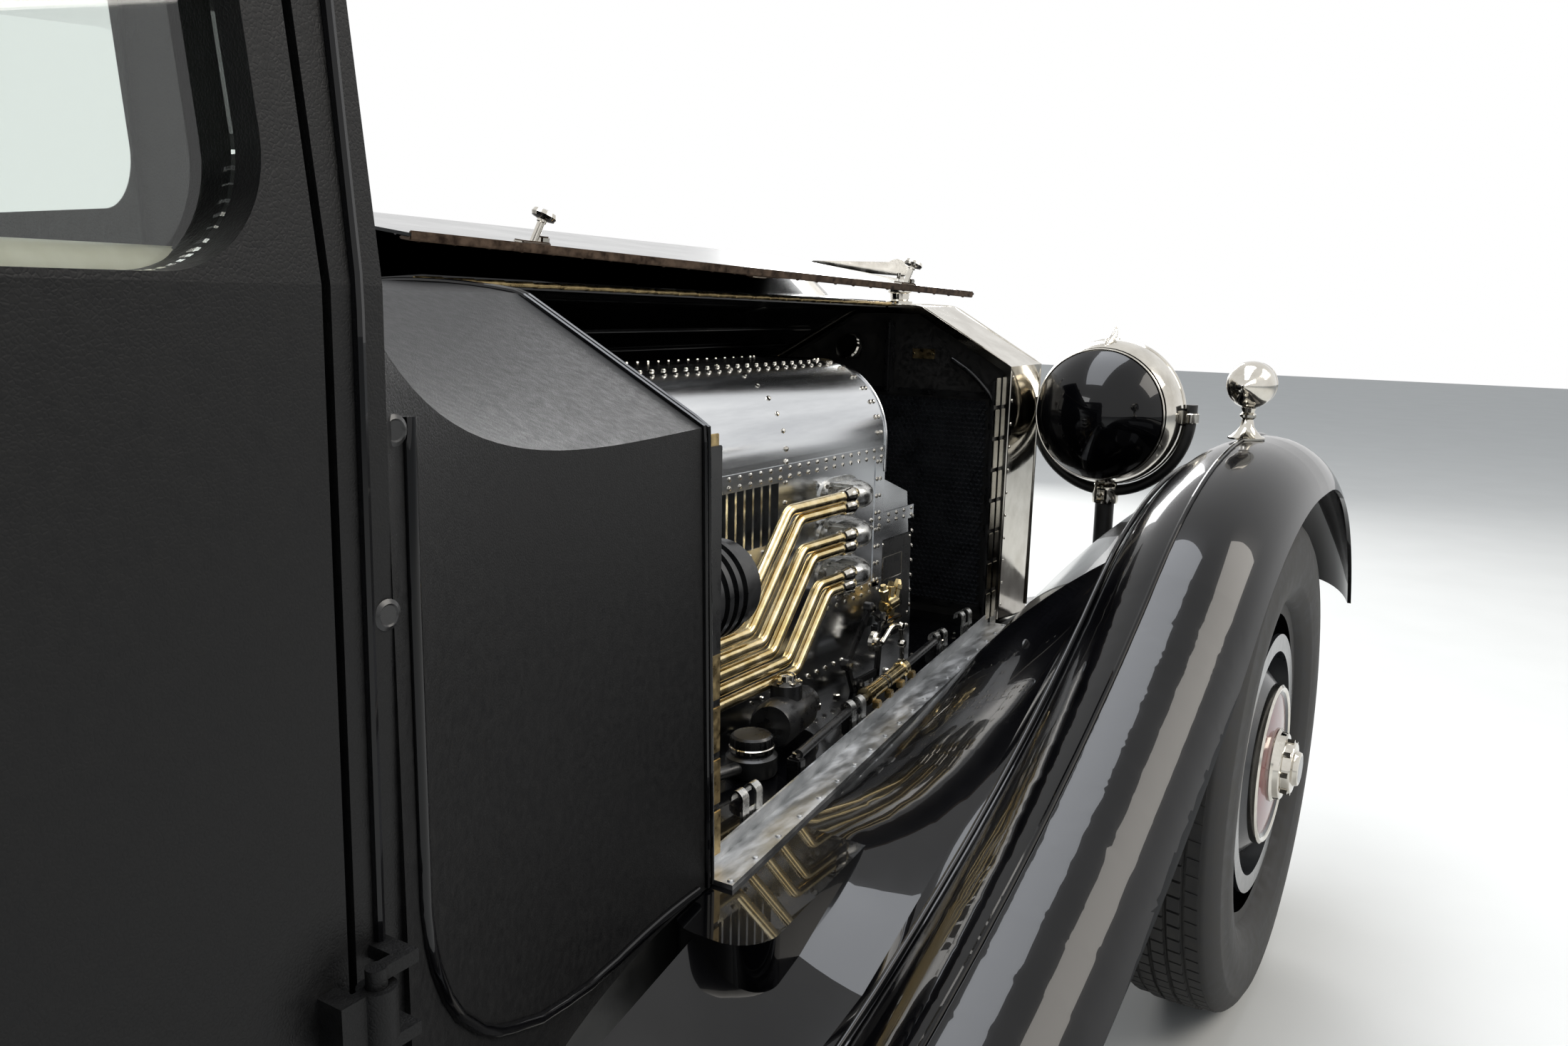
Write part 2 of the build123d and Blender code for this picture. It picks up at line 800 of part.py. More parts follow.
def shoulder_hinge(row):
    """The shoulder hinge's centre, inside the corner between the top and the side."""
    y, z = mitred(bonnet_outline(row)[1:], hinge_depth)[0]
    return Vector(row[0], y, z)


def hinge_foot(row, start, end):
    """The point on the outer line from start to end that lies square to the shoulder hinge."""
    hinge = Vector(shoulder_hinge(row).Y, shoulder_hinge(row).Z)
    along = (Vector(*end) - Vector(*start)).normalized()
    foot = Vector(*start) + along * (hinge - Vector(*start)).dot(along)
    return (foot.X, foot.Y)


def top_section(row):
    """Cross-section of the right top panel."""
    centre, knee, shoulder, bottom = bonnet_outline(row)
    edge = hinge_foot(row, knee, shoulder)
    inner_knee = mitred([centre, knee, shoulder], bonnet_thickness)[0]
    slope = (Vector(*shoulder) - Vector(*knee)).normalized()
    inner_edge = (edge[0] - slope.Y * bonnet_thickness, edge[1] + slope.X * bonnet_thickness)
    with BuildSketch(section_plane(row[0])) as section:
        with BuildLine():
            FilletPolyline(centre, knee, edge, radius=row[6])
            Line(edge, inner_edge)
            inner_centre = (centre[0], centre[1] - bonnet_thickness)
            FilletPolyline(inner_edge, inner_knee, inner_centre, radius=row[6] - bonnet_thickness)
            Line((centre[0], centre[1] - bonnet_thickness), centre)
        make_face()
    return section.sketch


def side_section(row):
    """Cross-section of the right side panel."""
    centre, knee, shoulder, bottom = bonnet_outline(row)
    edge = hinge_foot(row, shoulder, bottom)
    down = (Vector(*bottom) - Vector(*shoulder)).normalized()
    left = Vector(-down.Y, down.X) * bonnet_thickness
    with BuildSketch(section_plane(row[0])) as section:
        with BuildLine():
            Polyline(
                edge,
                bottom,
                (bottom[0] + left.X, bottom[1] + left.Y),
                (edge[0] + left.X, edge[1] + left.Y),
                close=True,
            )
        make_face()
    return section.sketch


centre_height = hinge_offset
centre_hinge = Axis(
    (bonnet_rear[0], 0, bonnet_rear_top + centre_height),
    (bonnet_front[0] - bonnet_rear[0], 0, bonnet_front_top - bonnet_rear_top),
)
side_hinge_rear = shoulder_hinge(bonnet_rear)
side_hinge_front = shoulder_hinge(bonnet_front)
side_hinge = Axis(side_hinge_rear, side_hinge_front - side_hinge_rear)


def rod(start, end, radius):
    """A round rod from start to end."""
    start, end = Vector(*start), Vector(*end)
    with BuildPart() as bar:
        with BuildSketch(Plane(origin=start, z_dir=end - start)):
            Circle(radius)
        extrude(amount=(end - start).length)
    return bar.part


with BuildPart() as top_closed:
    loft(sections=[top_section(bonnet_rear), top_section(bonnet_front)], ruled=True)
    add(rod(side_hinge_rear, side_hinge_front, shoulder_rod_radius))

with BuildPart() as side_closed:
    loft(sections=[side_section(bonnet_rear), side_section(bonnet_front)], ruled=True)
    add(rod(side_hinge_rear, side_hinge_front, shoulder_rod_radius + fit_gap), mode=Mode.SUBTRACT)

with BuildPart() as bonnet_left_top:
    add(mirror(top_closed.part, about=Plane.XZ))
with BuildPart() as bonnet_left_side:
    add(mirror(side_closed.part, about=Plane.XZ))
with BuildPart() as bonnet_right_top:
    add(top_closed.part.rotate(centre_hinge, -open_top_angle))
with BuildPart() as bonnet_right_side:
    add(side_closed.part.rotate(side_hinge, open_side_angle).rotate(centre_hinge, -open_top_angle))
finish(bonnet_left_top.part, "bonnet_left_top")
finish(bonnet_left_side.part, "bonnet_left_side")
finish(bonnet_right_top.part, "bonnet_right_top")
finish(bonnet_right_side.part, "bonnet_right_side")

# Rods and ledges that carry the bonnet
with BuildPart() as bonnet_rod:
    add(rod(
        (scuttle_front_x + fit_gap, 0, bonnet_rear_top + centre_height),
        (shell_rear_x - fit_gap, 0, bonnet_front_top + centre_height),
        centre_rod_radius,
    ))
finish(bonnet_rod.part, "bonnet_centre_rod")

rail_line = [
    (rear_axle_x - 720.0, rail_y_rear),
    (scuttle_front_x, rail_y_rear),
    (shell_rear_x, rail_y_front),
    (nose_x - iron_eye_radius, rail_y_front),
]


def rail_half_width(x):
    """Outer half width of the chassis rails between the scuttle and the radiator."""
    share = (x - scuttle_front_x) / (shell_rear_x - scuttle_front_x)
    return rail_y_rear + (rail_y_front - rail_y_rear) * min(share, 1.0)


with BuildPart() as bay_tray:
    with BuildSketch(Plane.XY.offset(rail_top)):
        with BuildLine():
            Polyline(
                (scuttle_front_x + fit_gap, -rail_y_rear),
                (shell_rear_x, -rail_y_front),
                (shell_front_x + 20.0, -rail_y_front),
                (shell_front_x + 20.0, rail_y_front),
                (shell_rear_x, rail_y_front),
                (scuttle_front_x + fit_gap, rail_y_rear),
                close=True,
            )
        make_face()
    extrude(amount=tray_thickness)
finish(bay_tray.part, "bay_tray")

ledge_inset = 16.0
ledge_rear = (scuttle_front_x + fit_gap, bonnet_rear_bottom_y)
ledge_front = (shell_rear_x - fit_gap, bonnet_front_bottom_y)

with BuildPart() as bonnet_ledges:
    with BuildSketch(Plane.XY.offset(tray_top)):
        with BuildLine():
            Polyline(
                (ledge_rear[0], -ledge_rear[1] + ledge_inset),
                (ledge_front[0], -ledge_front[1] + ledge_inset),
                (ledge_front[0], -ledge_front[1] + ledge_inset - ledge_width),
                (ledge_rear[0], -ledge_rear[1] + ledge_inset - ledge_width),
                close=True,
            )
        make_face()
    extrude(amount=ledge_thickness)
    with BuildSketch(Plane.XY.offset(tray_top)):
        with BuildLine():
            Polyline(
                (ledge_rear[0], -ledge_rear[1] + ledge_inset),
                (ledge_front[0], -ledge_front[1] + ledge_inset),
                (ledge_front[0], -ledge_front[1] + ledge_inset - 3.0),
                (ledge_rear[0], -ledge_rear[1] + ledge_inset - 3.0),
                close=True,
            )
        make_face()
    extrude(amount=ledge_upstand)
    mirror(about=Plane.XZ)
finish(bonnet_ledges.part, "bonnet_ledges")

# Chassis: two rails that taper to the front, cross tubes and the dumb irons
with BuildPart() as chassis_frame:
    with BuildSketch(Plane.XY):
        with BuildLine():
            outer = [(x, -y) for x, y in rail_line]
            inner = [(x, rail_width - y) for x, y in reversed(rail_line)]
            Polyline(*outer, *inner, close=True)
        make_face()
    extrude(amount=1000.0)
    with BuildSketch(side_plane(0)):
        with BuildLine():
            Polyline(
                (nose_x - iron_eye_radius, iron_eye_z - iron_eye_radius),
                (front_axle_x + 300.0, rail_shallow_bottom),
                (front_axle_x - 680.0, rail_shallow_bottom),
                (front_axle_x - 860.0, rail_bottom),
                (rear_axle_x + 900.0, rail_bottom),
                (rear_axle_x + 620.0, rail_shallow_bottom),
                (rail_line[0][0], rail_shallow_bottom),
                (rail_line[0][0], rail_top),
                (shell_front_x + 40.0, rail_top),
            )
            ThreePointArc(
                (shell_front_x + 40.0, rail_top),
                (shell_front_x + 260.0, rail_top - 26.0),
                (nose_x - iron_eye_radius, iron_eye_z + iron_eye_radius),
            )
            Line(
                (nose_x - iron_eye_radius, iron_eye_z + iron_eye_radius),
                (nose_x - iron_eye_radius, iron_eye_z - iron_eye_radius),
            )
        make_face()
    extrude(amount=1000.0, mode=Mode.INTERSECT)
    with BuildSketch(side_plane(rail_width - rail_y_front)):
        with Locations((nose_x - iron_eye_radius, iron_eye_z)):
            Circle(iron_eye_radius)
    extrude(amount=rail_width)
    mirror(about=Plane.XZ)
    for x, half in (
        (rail_line[0][0] + 40.0, rail_y_rear - 5.0),
        (rear_axle_x + 620.0, rail_y_rear - 5.0),
        (-300.0, rail_y_rear - 5.0),
        (scuttle_front_x - 60.0, rail_y_rear - 5.0),
        (shell_front_x + 90.0, rail_y_front - 5.0),
    ):
        add(rod((x, -half, cross_tube_z), (x, half, cross_tube_z), cross_tube_radius))
    # Carrier for the spare wheel: a plate on the rearmost tube, a boss and a spigot for the wheel's bore
    with BuildSketch(section_plane(trunk_rear_x - 2.0 - carrier_thickness)):
        with Locations((0, (cross_tube_z + spare_z) / 2)):
            Rectangle(carrier_width, spare_z - cross_tube_z)
        with Locations((0, spare_z)):
            Circle(carrier_width / 2)
    extrude(amount=carrier_thickness)
    carrier_root = (trunk_rear_x - 4.0, 0, spare_z)
    add(rod(carrier_root, (spare_x + drum_depth - 4.0 + fit_gap, 0, spare_z), carrier_boss_radius))
    add(rod(carrier_root, (spare_x - hub_length + 38.0, 0, spare_z), bore_radius - fit_gap))
finish(chassis_frame.part, "chassis_frame")

# Leaf springs: a stack of arched leaves under each rail
# centre x, y, half length, height of the lowest leaf's underside, height of the eyes
spring_table = [
    (front_axle_x, front_spring_y, front_spring_half, hub_z - beam_drop + beam_half_z,
     iron_eye_z - iron_eye_radius - leaf_thickness - 0.8),
    (
        rear_axle_x, rear_spring_y, rear_spring_half,
        hub_z - axle_tube_radius - leaf_thickness * leaf_count, 462.0,
    ),
]
with BuildPart() as leaf_springs:
    for centre_x, spring_y, half, low_z, eye_z in spring_table:
        main_z = low_z + leaf_thickness * (leaf_count - 1)
        rise = eye_z - main_z
        for leaf in range(leaf_count):
            reach = half * (1.0 - 0.17 * leaf)
            base = main_z - leaf_thickness * leaf
            tip = base + rise * (reach / half) ** 2
            with BuildSketch(side_plane(-spring_y + spring_width / 2)):
                with BuildLine():
                    ThreePointArc((centre_x - reach, tip), (centre_x, base), (centre_x + reach, tip))
                    Line((centre_x + reach, tip), (centre_x + reach, tip + leaf_thickness + 0.5))
                    ThreePointArc(
                        (centre_x + reach, tip + leaf_thickness + 0.5),
                        (centre_x, base + leaf_thickness + 0.5 * (leaf > 0)),
                        (centre_x - reach, tip + leaf_thickness + 0.5),
                    )
                    Line((centre_x - reach, tip + leaf_thickness + 0.5), (centre_x - reach, tip))
                make_face()
            extrude(amount=spring_width)
        shackle_ends = (-1,) if centre_x == front_axle_x else (-1, 1)
        for end in shackle_ends:
            with BuildSketch(Plane.XY.offset(eye_z + leaf_thickness)):
                with Locations((centre_x + end * (half - 14.0), -spring_y)):
                    Rectangle(24.0, spring_width)
            extrude(amount=rail_shallow_bottom - eye_z - leaf_thickness)
    mirror(about=Plane.XZ)
finish(leaf_springs.part, "leaf_springs")

# Axles: a dropped front beam with forked ends, and a live rear axle
fork_half_z = 52.0
fork_plate = 24.0
with BuildPart() as front_axle:
    with BuildSketch(section_plane(front_axle_x - beam_half_x)):
        with BuildLine():
            low = hub_z - beam_drop
            fork_low = hub_z - fork_half_z - fork_plate
            fork_high = hub_z + fork_half_z + fork_plate
            Polyline(
                (-400.0, low - beam_half_z),
                (400.0, low - beam_half_z),
                (kingpin_y - 62.0, fork_low),
                (kingpin_y + 20.0, fork_low),
                (kingpin_y + 20.0, fork_low + fork_plate),
                (kingpin_y - 36.0, fork_low + fork_plate),
                (kingpin_y - 36.0, fork_high - fork_plate),
                (kingpin_y + 20.0, fork_high - fork_plate),
                (kingpin_y + 20.0, fork_high),
                (kingpin_y - 62.0, fork_high),
                (400.0, low + beam_half_z),
                (-400.0, low + beam_half_z),
                (62.0 - kingpin_y, fork_high),
                (-kingpin_y - 20.0, fork_high),
                (-kingpin_y - 20.0, fork_high - fork_plate),
                (36.0 - kingpin_y, fork_high - fork_plate),
                (36.0 - kingpin_y, fork_low + fork_plate),
                (-kingpin_y - 20.0, fork_low + fork_plate),
                (-kingpin_y - 20.0, fork_low),
                (62.0 - kingpin_y, fork_low),
                close=True,
            )
        make_face()
    extrude(amount=2.0 * beam_half_x)
    with BuildSketch(Plane.XY.offset(fork_low - 10.0)):
        with Locations((front_axle_x, -kingpin_y), (front_axle_x, kingpin_y)):
            Circle(kingpin_radius + fit_gap)
    extrude(amount=200.0, mode=Mode.SUBTRACT)
finish(front_axle.part, "front_axle")

stub_end_y = wheel_y + hub_length - 42.0
with BuildPart() as rear_axle:
    add(rod((rear_axle_x, -backplate_y, hub_z), (rear_axle_x, backplate_y, hub_z), axle_tube_radius))
    with Locations((rear_axle_x, 0, hub_z)):
        Sphere(132.0)
    for side in (-1, 1):
        add(rod(
            (rear_axle_x, side * (backplate_y - backplate_thickness), hub_z),
            (rear_axle_x, side * backplate_y, hub_z),
            drum_radius - drum_gap,
        ))
        add(rod(
            (rear_axle_x, side * backplate_y, hub_z),
            (rear_axle_x, side * stub_end_y, hub_z),
            bore_radius - fit_gap,
        ))
    add(rod((rear_axle_x + 100.0, 0, hub_z), (scuttle_front_x - 200.0, 0, hub_z + 30.0), 36.0))
finish(rear_axle.part, "rear_axle")

# Knuckles: kingpin, boss, backplate and stub, with a steering arm that runs back to the track rod
arm_length = 190.0
ball_x = front_axle_x - arm_length
ball_pin_radius = 7.0
track_rod_radius = 10.0
track_eye_radius = 16.0
arm_z = hub_z - fork_half_z - fork_plate - 16.0
with BuildPart() as knuckle_right:
    boss_half = fork_half_z - 4.0
    pin_low = (front_axle_x, -kingpin_y, arm_z - 8.0)
    pin_high = (front_axle_x, -kingpin_y, hub_z + 84.0)
    boss_low = (front_axle_x, -kingpin_y, hub_z - boss_half)
    boss_high = (front_axle_x, -kingpin_y, hub_z + boss_half)
    add(rod(boss_low, boss_high, 26.0))
    add(rod(pin_low, pin_high, kingpin_radius))
    with BuildSketch(side_plane(-kingpin_y)):
        with Locations((front_axle_x, hub_z)):
            Rectangle(50.0, 70.0)
    extrude(amount=backplate_y - kingpin_y)
    plate_inner = (front_axle_x, backplate_thickness - backplate_y, hub_z)
    add(rod(plate_inner, (front_axle_x, -backplate_y, hub_z), drum_radius - drum_gap))
    add(rod((front_axle_x, -backplate_y, hub_z), (front_axle_x, -stub_end_y, hub_z), bore_radius - fit_gap))
    with BuildSketch(Plane.XY.offset(arm_z - 8.0)):
        with BuildLine():
            Polyline(
                (front_axle_x + 20.0, -kingpin_y - 18.0),
                (front_axle_x + 20.0, -kingpin_y + 18.0),
                (front_axle_x - arm_length - 14.0, -kingpin_y + 14.0),
                (front_axle_x - arm_length - 14.0, -kingpin_y - 14.0),
                close=True,
            )
        make_face()
    extrude(amount=14.0)
    add(rod((ball_x, -kingpin_y, arm_z - 34.0), (ball_x, -kingpin_y, arm_z), ball_pin_radius))
finish(knuckle_right.part, "knuckle_right")
finish(mirror(knuckle_right.part, about=Plane.XZ), "knuckle_left")

rod_z = arm_z - 22.0
with BuildPart() as track_rod:
    add(rod((ball_x, -kingpin_y, rod_z), (ball_x, kingpin_y, rod_z), track_rod_radius))
    for side in (-1, 1):
        add(rod(
            (ball_x, side * kingpin_y, rod_z - 12.0),
            (ball_x, side * kingpin_y, rod_z + 12.0),
            track_eye_radius,
        ))
    for side in (-1, 1):
        add(rod(
            (ball_x, side * kingpin_y, rod_z - 40.0),
            (ball_x, side * kingpin_y, rod_z + 40.0),
            ball_pin_radius + fit_gap,
        ), mode=Mode.SUBTRACT)
finish(track_rod.part, "track_rod")

# Wheels and tyres, turned about the car's Y axis with the outer side towards +Y
rim_inner = rim_radius - 14.0
flange_radius = rim_radius + flange_height
with BuildPart() as wheel_turned:
    with BuildSketch(Plane.XY):
        with BuildLine():
            Polyline(
                (bore_radius, 4.0 - drum_depth),
                (52.0, 4.0 - drum_depth),
                (52.0, -6.0),
                (drum_radius - 12.0, -6.0),
                (drum_radius - 12.0, -drum_depth),
                (drum_radius, -drum_depth),
                (drum_radius, 2.0),
                (60.0, 4.0),
                (60.0, 64.0),
                (disc_ring_radius, 62.0),
                (rim_inner, 6.0),
                (rim_inner, -rim_half - 7.0),
                (flange_radius, -rim_half - 7.0),
                (flange_radius, -rim_half),
                (rim_radius, -rim_half),
                (rim_radius, rim_half),
                (flange_radius, rim_half),
                (flange_radius, rim_half + 7.0),
                (rim_inner, rim_half + 7.0),
                (rim_inner, 14.0),
                (disc_ring_radius + 12.0, 70.0),
                (disc_ring_radius + 12.0, 80.0),
                (disc_ring_radius, 82.0),
                (disc_ring_radius - 8.0, 76.0),
                (60.0, 84.0),
                (56.0, 100.0),
                (44.0, 102.0),
                (44.0, 116.0),
                (30.0, 118.0),
                (24.0, hub_length),
                (0.0, hub_length),
                (0.0, hub_length - 34.0),
                (bore_radius, hub_length - 34.0),
                close=True,
            )
        make_face()
    revolve(axis=Axis.Y)

with BuildPart() as tyre_turned:
    with BuildSketch(Plane.XY):
        with BuildLine():
            bead = flange_radius + seat_gap
            shoulder_half = tread_half + 8.0
            edge = tyre_radius - tread_crown
            Line((rim_radius, -rim_half), (rim_radius, rim_half))
            Line((rim_radius, rim_half), (bead, rim_half))
            ThreePointArc(
                (bead, rim_half), (tyre_bulge_radius, tyre_width / 2), (tyre_shoulder_radius, shoulder_half)
            )
            Line((tyre_shoulder_radius, shoulder_half), (edge, tread_half))
            ThreePointArc((edge, tread_half), (tyre_radius, 0), (edge, -tread_half))
            Line((edge, -tread_half), (tyre_shoulder_radius, -shoulder_half))
            ThreePointArc(
                (tyre_shoulder_radius, -shoulder_half),
                (tyre_bulge_radius, -tyre_width / 2),
                (bead, -rim_half),
            )
            Line((bead, -rim_half), (rim_radius, -rim_half))
        make_face()
    revolve(axis=Axis.Y)

wheel_places = [
    ("front_right", front_axle_x, -wheel_y, 180.0),
    ("front_left", front_axle_x, wheel_y, 0.0),
    ("rear_right", rear_axle_x, -wheel_y, 180.0),
    ("rear_left", rear_axle_x, wheel_y, 0.0),
]
for name, x, y, turn in wheel_places:
    place = Location((x, y, hub_z), (0, 0, turn))
    finish(wheel_turned.part.moved(place), f"wheel_{name}")
    finish(tyre_turned.part.moved(place), f"tyre_{name}")
spare_place = Location((spare_x, 0, spare_z), (0, 0, 90.0))
finish(wheel_turned.part.moved(spare_place), "spare_wheel")
finish(tyre_turned.part.moved(spare_place), "spare_tyre")

# Front wings: a domed section swept from the nose lip over the wheel, then faired down to the running board
front_crown_radius = wing_top_z - hub_z
fall = radians(wing_fall_angle)
flat_rear_x = front_axle_x - wing_flat
sweep_end_x = flat_rear_x - wing_rear_radius * sin(fall)
sweep_end_z = wing_top_z - wing_rear_radius * (1.0 - cos(fall))
tail_radius = (sweep_end_z - board_top_z) / (1.0 - cos(fall))
board_front_x = sweep_end_x - tail_radius * sin(fall)


def wing_section(plane, lip, half, centre_y, skin):
    """A domed strip across the wing: plane's local x is the car's left, its local y points outwards."""
    with BuildSketch(plane) as section:
        with BuildLine():
            ThreePointArc((centre_y - half, -lip), (centre_y, 0), (centre_y + half, -lip))
            Line((centre_y + half, -lip), (centre_y + half - skin, -lip))
            ThreePointArc((centre_y + half - skin, -lip), (centre_y, -skin), (centre_y - half + skin, -lip))
            Line((centre_y - half + skin, -lip), (centre_y - half, -lip))
        make_face()
    return section.sketch


wing_half = (wing_outer_y - wing_inner_y) / 2
wing_centre_y = -(wing_outer_y + wing_inner_y) / 2


def crown_plane(x, z, angle):
    """The plane square to the crown line at x, z, where the crown climbs forwards at angle degrees."""
    a = radians(angle)
    return Plane(origin=(x, 0, z), x_dir=(0, 1, 0), z_dir=(cos(a), 0, sin(a)))


def front_crown(angle):
    """The crown's point over the front wheel at angle degrees above the hub's level."""
    a = radians(angle)
    return (front_axle_x + front_crown_radius * cos(a), hub_z + front_crown_radius * sin(a))


def tail_crown(angle):
    """The crown's point on the long fall to the running board, where it climbs forwards at angle degrees."""
    a = radians(angle)
    return (board_front_x + tail_radius * sin(a), board_top_z + tail_radius * (1.0 - cos(a)))


# angle of the crown, lip depth and skin on the fall to the running board
tail_table = [(wing_fall_angle, wing_lip_drop), (20.0, 74.0), (9.0, 46.0), (0.0, board_thickness)]
with BuildPart() as front_wings:
    with BuildLine(Plane.XZ) as crown_line:
        start = front_crown(wing_front_angle)
        middle = front_crown((wing_front_angle + 90.0) / 2)
        ThreePointArc(start, middle, (front_axle_x, wing_top_z))
        Line((front_axle_x, wing_top_z), (flat_rear_x, wing_top_z))
        half_fall = fall / 2
        ThreePointArc(
            (flat_rear_x, wing_top_z),
            (
                flat_rear_x - wing_rear_radius * sin(half_fall),
                wing_top_z - wing_rear_radius * (1.0 - cos(half_fall)),
            ),
            (sweep_end_x, sweep_end_z),
        )
    start_plane = crown_plane(start[0], start[1], wing_front_angle - 90.0)
    wing_start = wing_section(start_plane, wing_lip_drop, wing_half, wing_centre_y, wing_thickness)
    sweep(sections=wing_start, path=crown_line.line)
    sections = []
    for angle, lip in tail_table:
        x, z = tail_crown(angle)
        across = crown_plane(x, z, angle)
        sections.append(wing_section(across, lip, wing_half, wing_centre_y, wing_thickness))
    loft(sections=sections)
    mirror(about=Plane.XZ)
finish(front_wings.part, "front_wings")

# Rear wings: the same dome round the rear wheel, trimmed to the body's side
rear_wing_end = 12.0


def arch_point(angle):
    """A point of the rear wings' crown line at angle degrees above the hub's level."""
    a = radians(angle)
    return (rear_axle_x + rear_wing_radius * cos(a), hub_z + rear_wing_radius * sin(a))


with BuildPart() as rear_wings:
    with BuildLine(Plane.XZ) as arch_line:
        ThreePointArc(arch_point(0.0), arch_point(90.0), arch_point(180.0 + rear_wing_end))
    dome_radius = (wing_half**2 + wing_lip_drop**2) / (2.0 * wing_lip_drop)
    with BuildSketch(crown_plane(*arch_point(0.0), -90.0)):
        with BuildLine():
            for skin in (0.0, wing_thickness):
                radius = dome_radius - skin
                lip = sqrt(radius**2 - (dome_radius - wing_lip_drop) ** 2)
                ThreePointArc(
                    (wing_centre_y - lip, -wing_lip_drop),
                    (wing_centre_y - radius * sin(radians(40.0)), radius * cos(radians(40.0)) - dome_radius),
                    (wing_centre_y, -skin),
                )
                Line((wing_centre_y, -skin), (-arch_house_y, -skin))
            outer_lip = sqrt(dome_radius**2 - (dome_radius - wing_lip_drop) ** 2)
            inner_radius = dome_radius - wing_thickness
            inner_lip = sqrt(inner_radius**2 - (dome_radius - wing_lip_drop) ** 2)
            Line((wing_centre_y - outer_lip, -wing_lip_drop), (wing_centre_y - inner_lip, -wing_lip_drop))
            Line((-arch_house_y, 0), (-arch_house_y, -wing_thickness))
        make_face()
    sweep(path=arch_line.line)
    add(body_outer, mode=Mode.SUBTRACT)
    mirror(about=Plane.XZ)
finish(rear_wings.part, "rear_wings")

# Wheel houses: the boxes inside the body over the rear wheels
with BuildPart() as wheel_houses:
    add(arch_drums.part)
    add(body_volume(wall), mode=Mode.INTERSECT)
    with BuildSketch(Plane.XY):
        Rectangle(6000.0, 2000.0)
    extrude(amount=rail_top, mode=Mode.SUBTRACT)
    with BuildSketch(side_plane(-arch_house_y - arch_house_wall)):
        with Locations((rear_axle_x, hub_z)):
            Circle(arch_radius - arch_house_wall)
    extrude(amount=300.0, mode=Mode.SUBTRACT)
    with BuildSketch(side_plane(arch_house_y + arch_house_wall)):
        with Locations((rear_axle_x, hub_z)):
            Circle(arch_radius - arch_house_wall)
    extrude(amount=-300.0, mode=Mode.SUBTRACT)
finish(wheel_houses.part, "wheel_houses")

# Running boards, with the side valances between them and the sills
board_rear_x = rear_axle_x + rear_wing_radius + 0.5
valance_y = 618.0
with BuildPart() as running_boards:
    with BuildSketch(Plane.XY.offset(board_top_z - board_thickness)):
        with BuildLine():
            Polyline(
                (board_front_x, -wing_outer_y),
                (board_front_x, -valance_y),
                (board_rear_x, -valance_y),
                (board_rear_x, -wing_outer_y),
                close=True,
            )
        make_face()
    extrude(amount=board_thickness)
    with BuildSketch(Plane.XY.offset(board_top_z)):
        with BuildLine():
            Polyline(
                (screen_x, -valance_y - 8.0),
                (screen_x, -valance_y),
                (board_rear_x, -valance_y),
                (board_rear_x, -valance_y - 8.0),
                close=True,
            )
        make_face()
    extrude(amount=sill_z - board_top_z)
    for x in (screen_x - 100.0, board_rear_x + 200.0):
        add(rod((x, -valance_y - 4.0, 490.0), (x, -rail_y_rear, 490.0), 14.0))
    mirror(about=Plane.XZ)
finish(running_boards.part, "running_boards")

# Front valances: from the ledges and rails up or down to the front wings' inner lips
def lip_point(x):
    """Height of the front wings' inner lip at x."""
    if x > front_axle_x:
        return hub_z + sqrt((front_crown_radius - wing_lip_drop) ** 2 - (x - front_axle_x) ** 2)
    if x > flat_rear_x:
        return wing_top_z - wing_lip_drop
    inner = wing_rear_radius - wing_lip_drop
    edge_x = flat_rear_x - inner * sin(fall)
    if x > edge_x:
        return wing_top_z - wing_rear_radius + sqrt(inner**2 - (flat_rear_x - x) ** 2)
    lip_x, lip_z = edge_x, wing_top_z - wing_rear_radius + inner * cos(fall)
    for angle, lip in tail_table[1:]:
        crown_x, crown_z = tail_crown(angle)
        next_x = crown_x + lip * sin(radians(angle))
        next_z = crown_z - lip * cos(radians(angle))
        if x > next_x:
            return next_z + (lip_z - next_z) * (x - next_x) / (lip_x - next_x)
        lip_x, lip_z = next_x, next_z
    return lip_z


def ledge_edge(x):
    """Outer half width of the bonnet ledges at x."""
    share = (x - ledge_rear[0]) / (ledge_front[0] - ledge_rear[0])
    return ledge_rear[1] - ledge_inset + ledge_width + (ledge_front[1] - ledge_rear[1]) * share


valance_skin = 4.0
# x, half width at the inner edge, height there, bulge of the strip
valance_table = [
    (front_axle_x + 330.0, rail_y_front + 2.0, rail_top - 6.0, 30.0),
    (ledge_front[0] + 2.0, ledge_edge(ledge_front[0]) + 2.0, tray_top, 34.0),
    (front_axle_x - 420.0, ledge_edge(front_axle_x - 420.0) + 2.0, tray_top, 26.0),
    (front_axle_x - 800.0, ledge_edge(front_axle_x - 800.0) + 2.0, tray_top, 10.0),
    (scuttle_front_x, ledge_edge(scuttle_front_x) + 2.0, tray_top, -14.0),
    (screen_x + 20.0, 560.0, 560.0, -6.0),
]


def valance_section(row):
    """Cross-section of the right-hand front valance."""
    x, inner_y, inner_z, bulge = row
    outer_z = lip_point(x) + 3.0
    outer_y = wing_inner_y - 0.5
    middle = (-(inner_y + outer_y) / 2, (inner_z + outer_z) / 2 + bulge)
    with BuildSketch(section_plane(x)) as section:
        with BuildLine():
            ThreePointArc((-inner_y, inner_z), middle, (-outer_y, outer_z))
            Line((-outer_y, outer_z), (-outer_y, outer_z - valance_skin))
            ThreePointArc(
                (-outer_y, outer_z - valance_skin),
                (middle[0], middle[1] - valance_skin),
                (-inner_y, inner_z - valance_skin),
            )
            Line((-inner_y, inner_z - valance_skin), (-inner_y, inner_z))
        make_face()
    return section.sketch


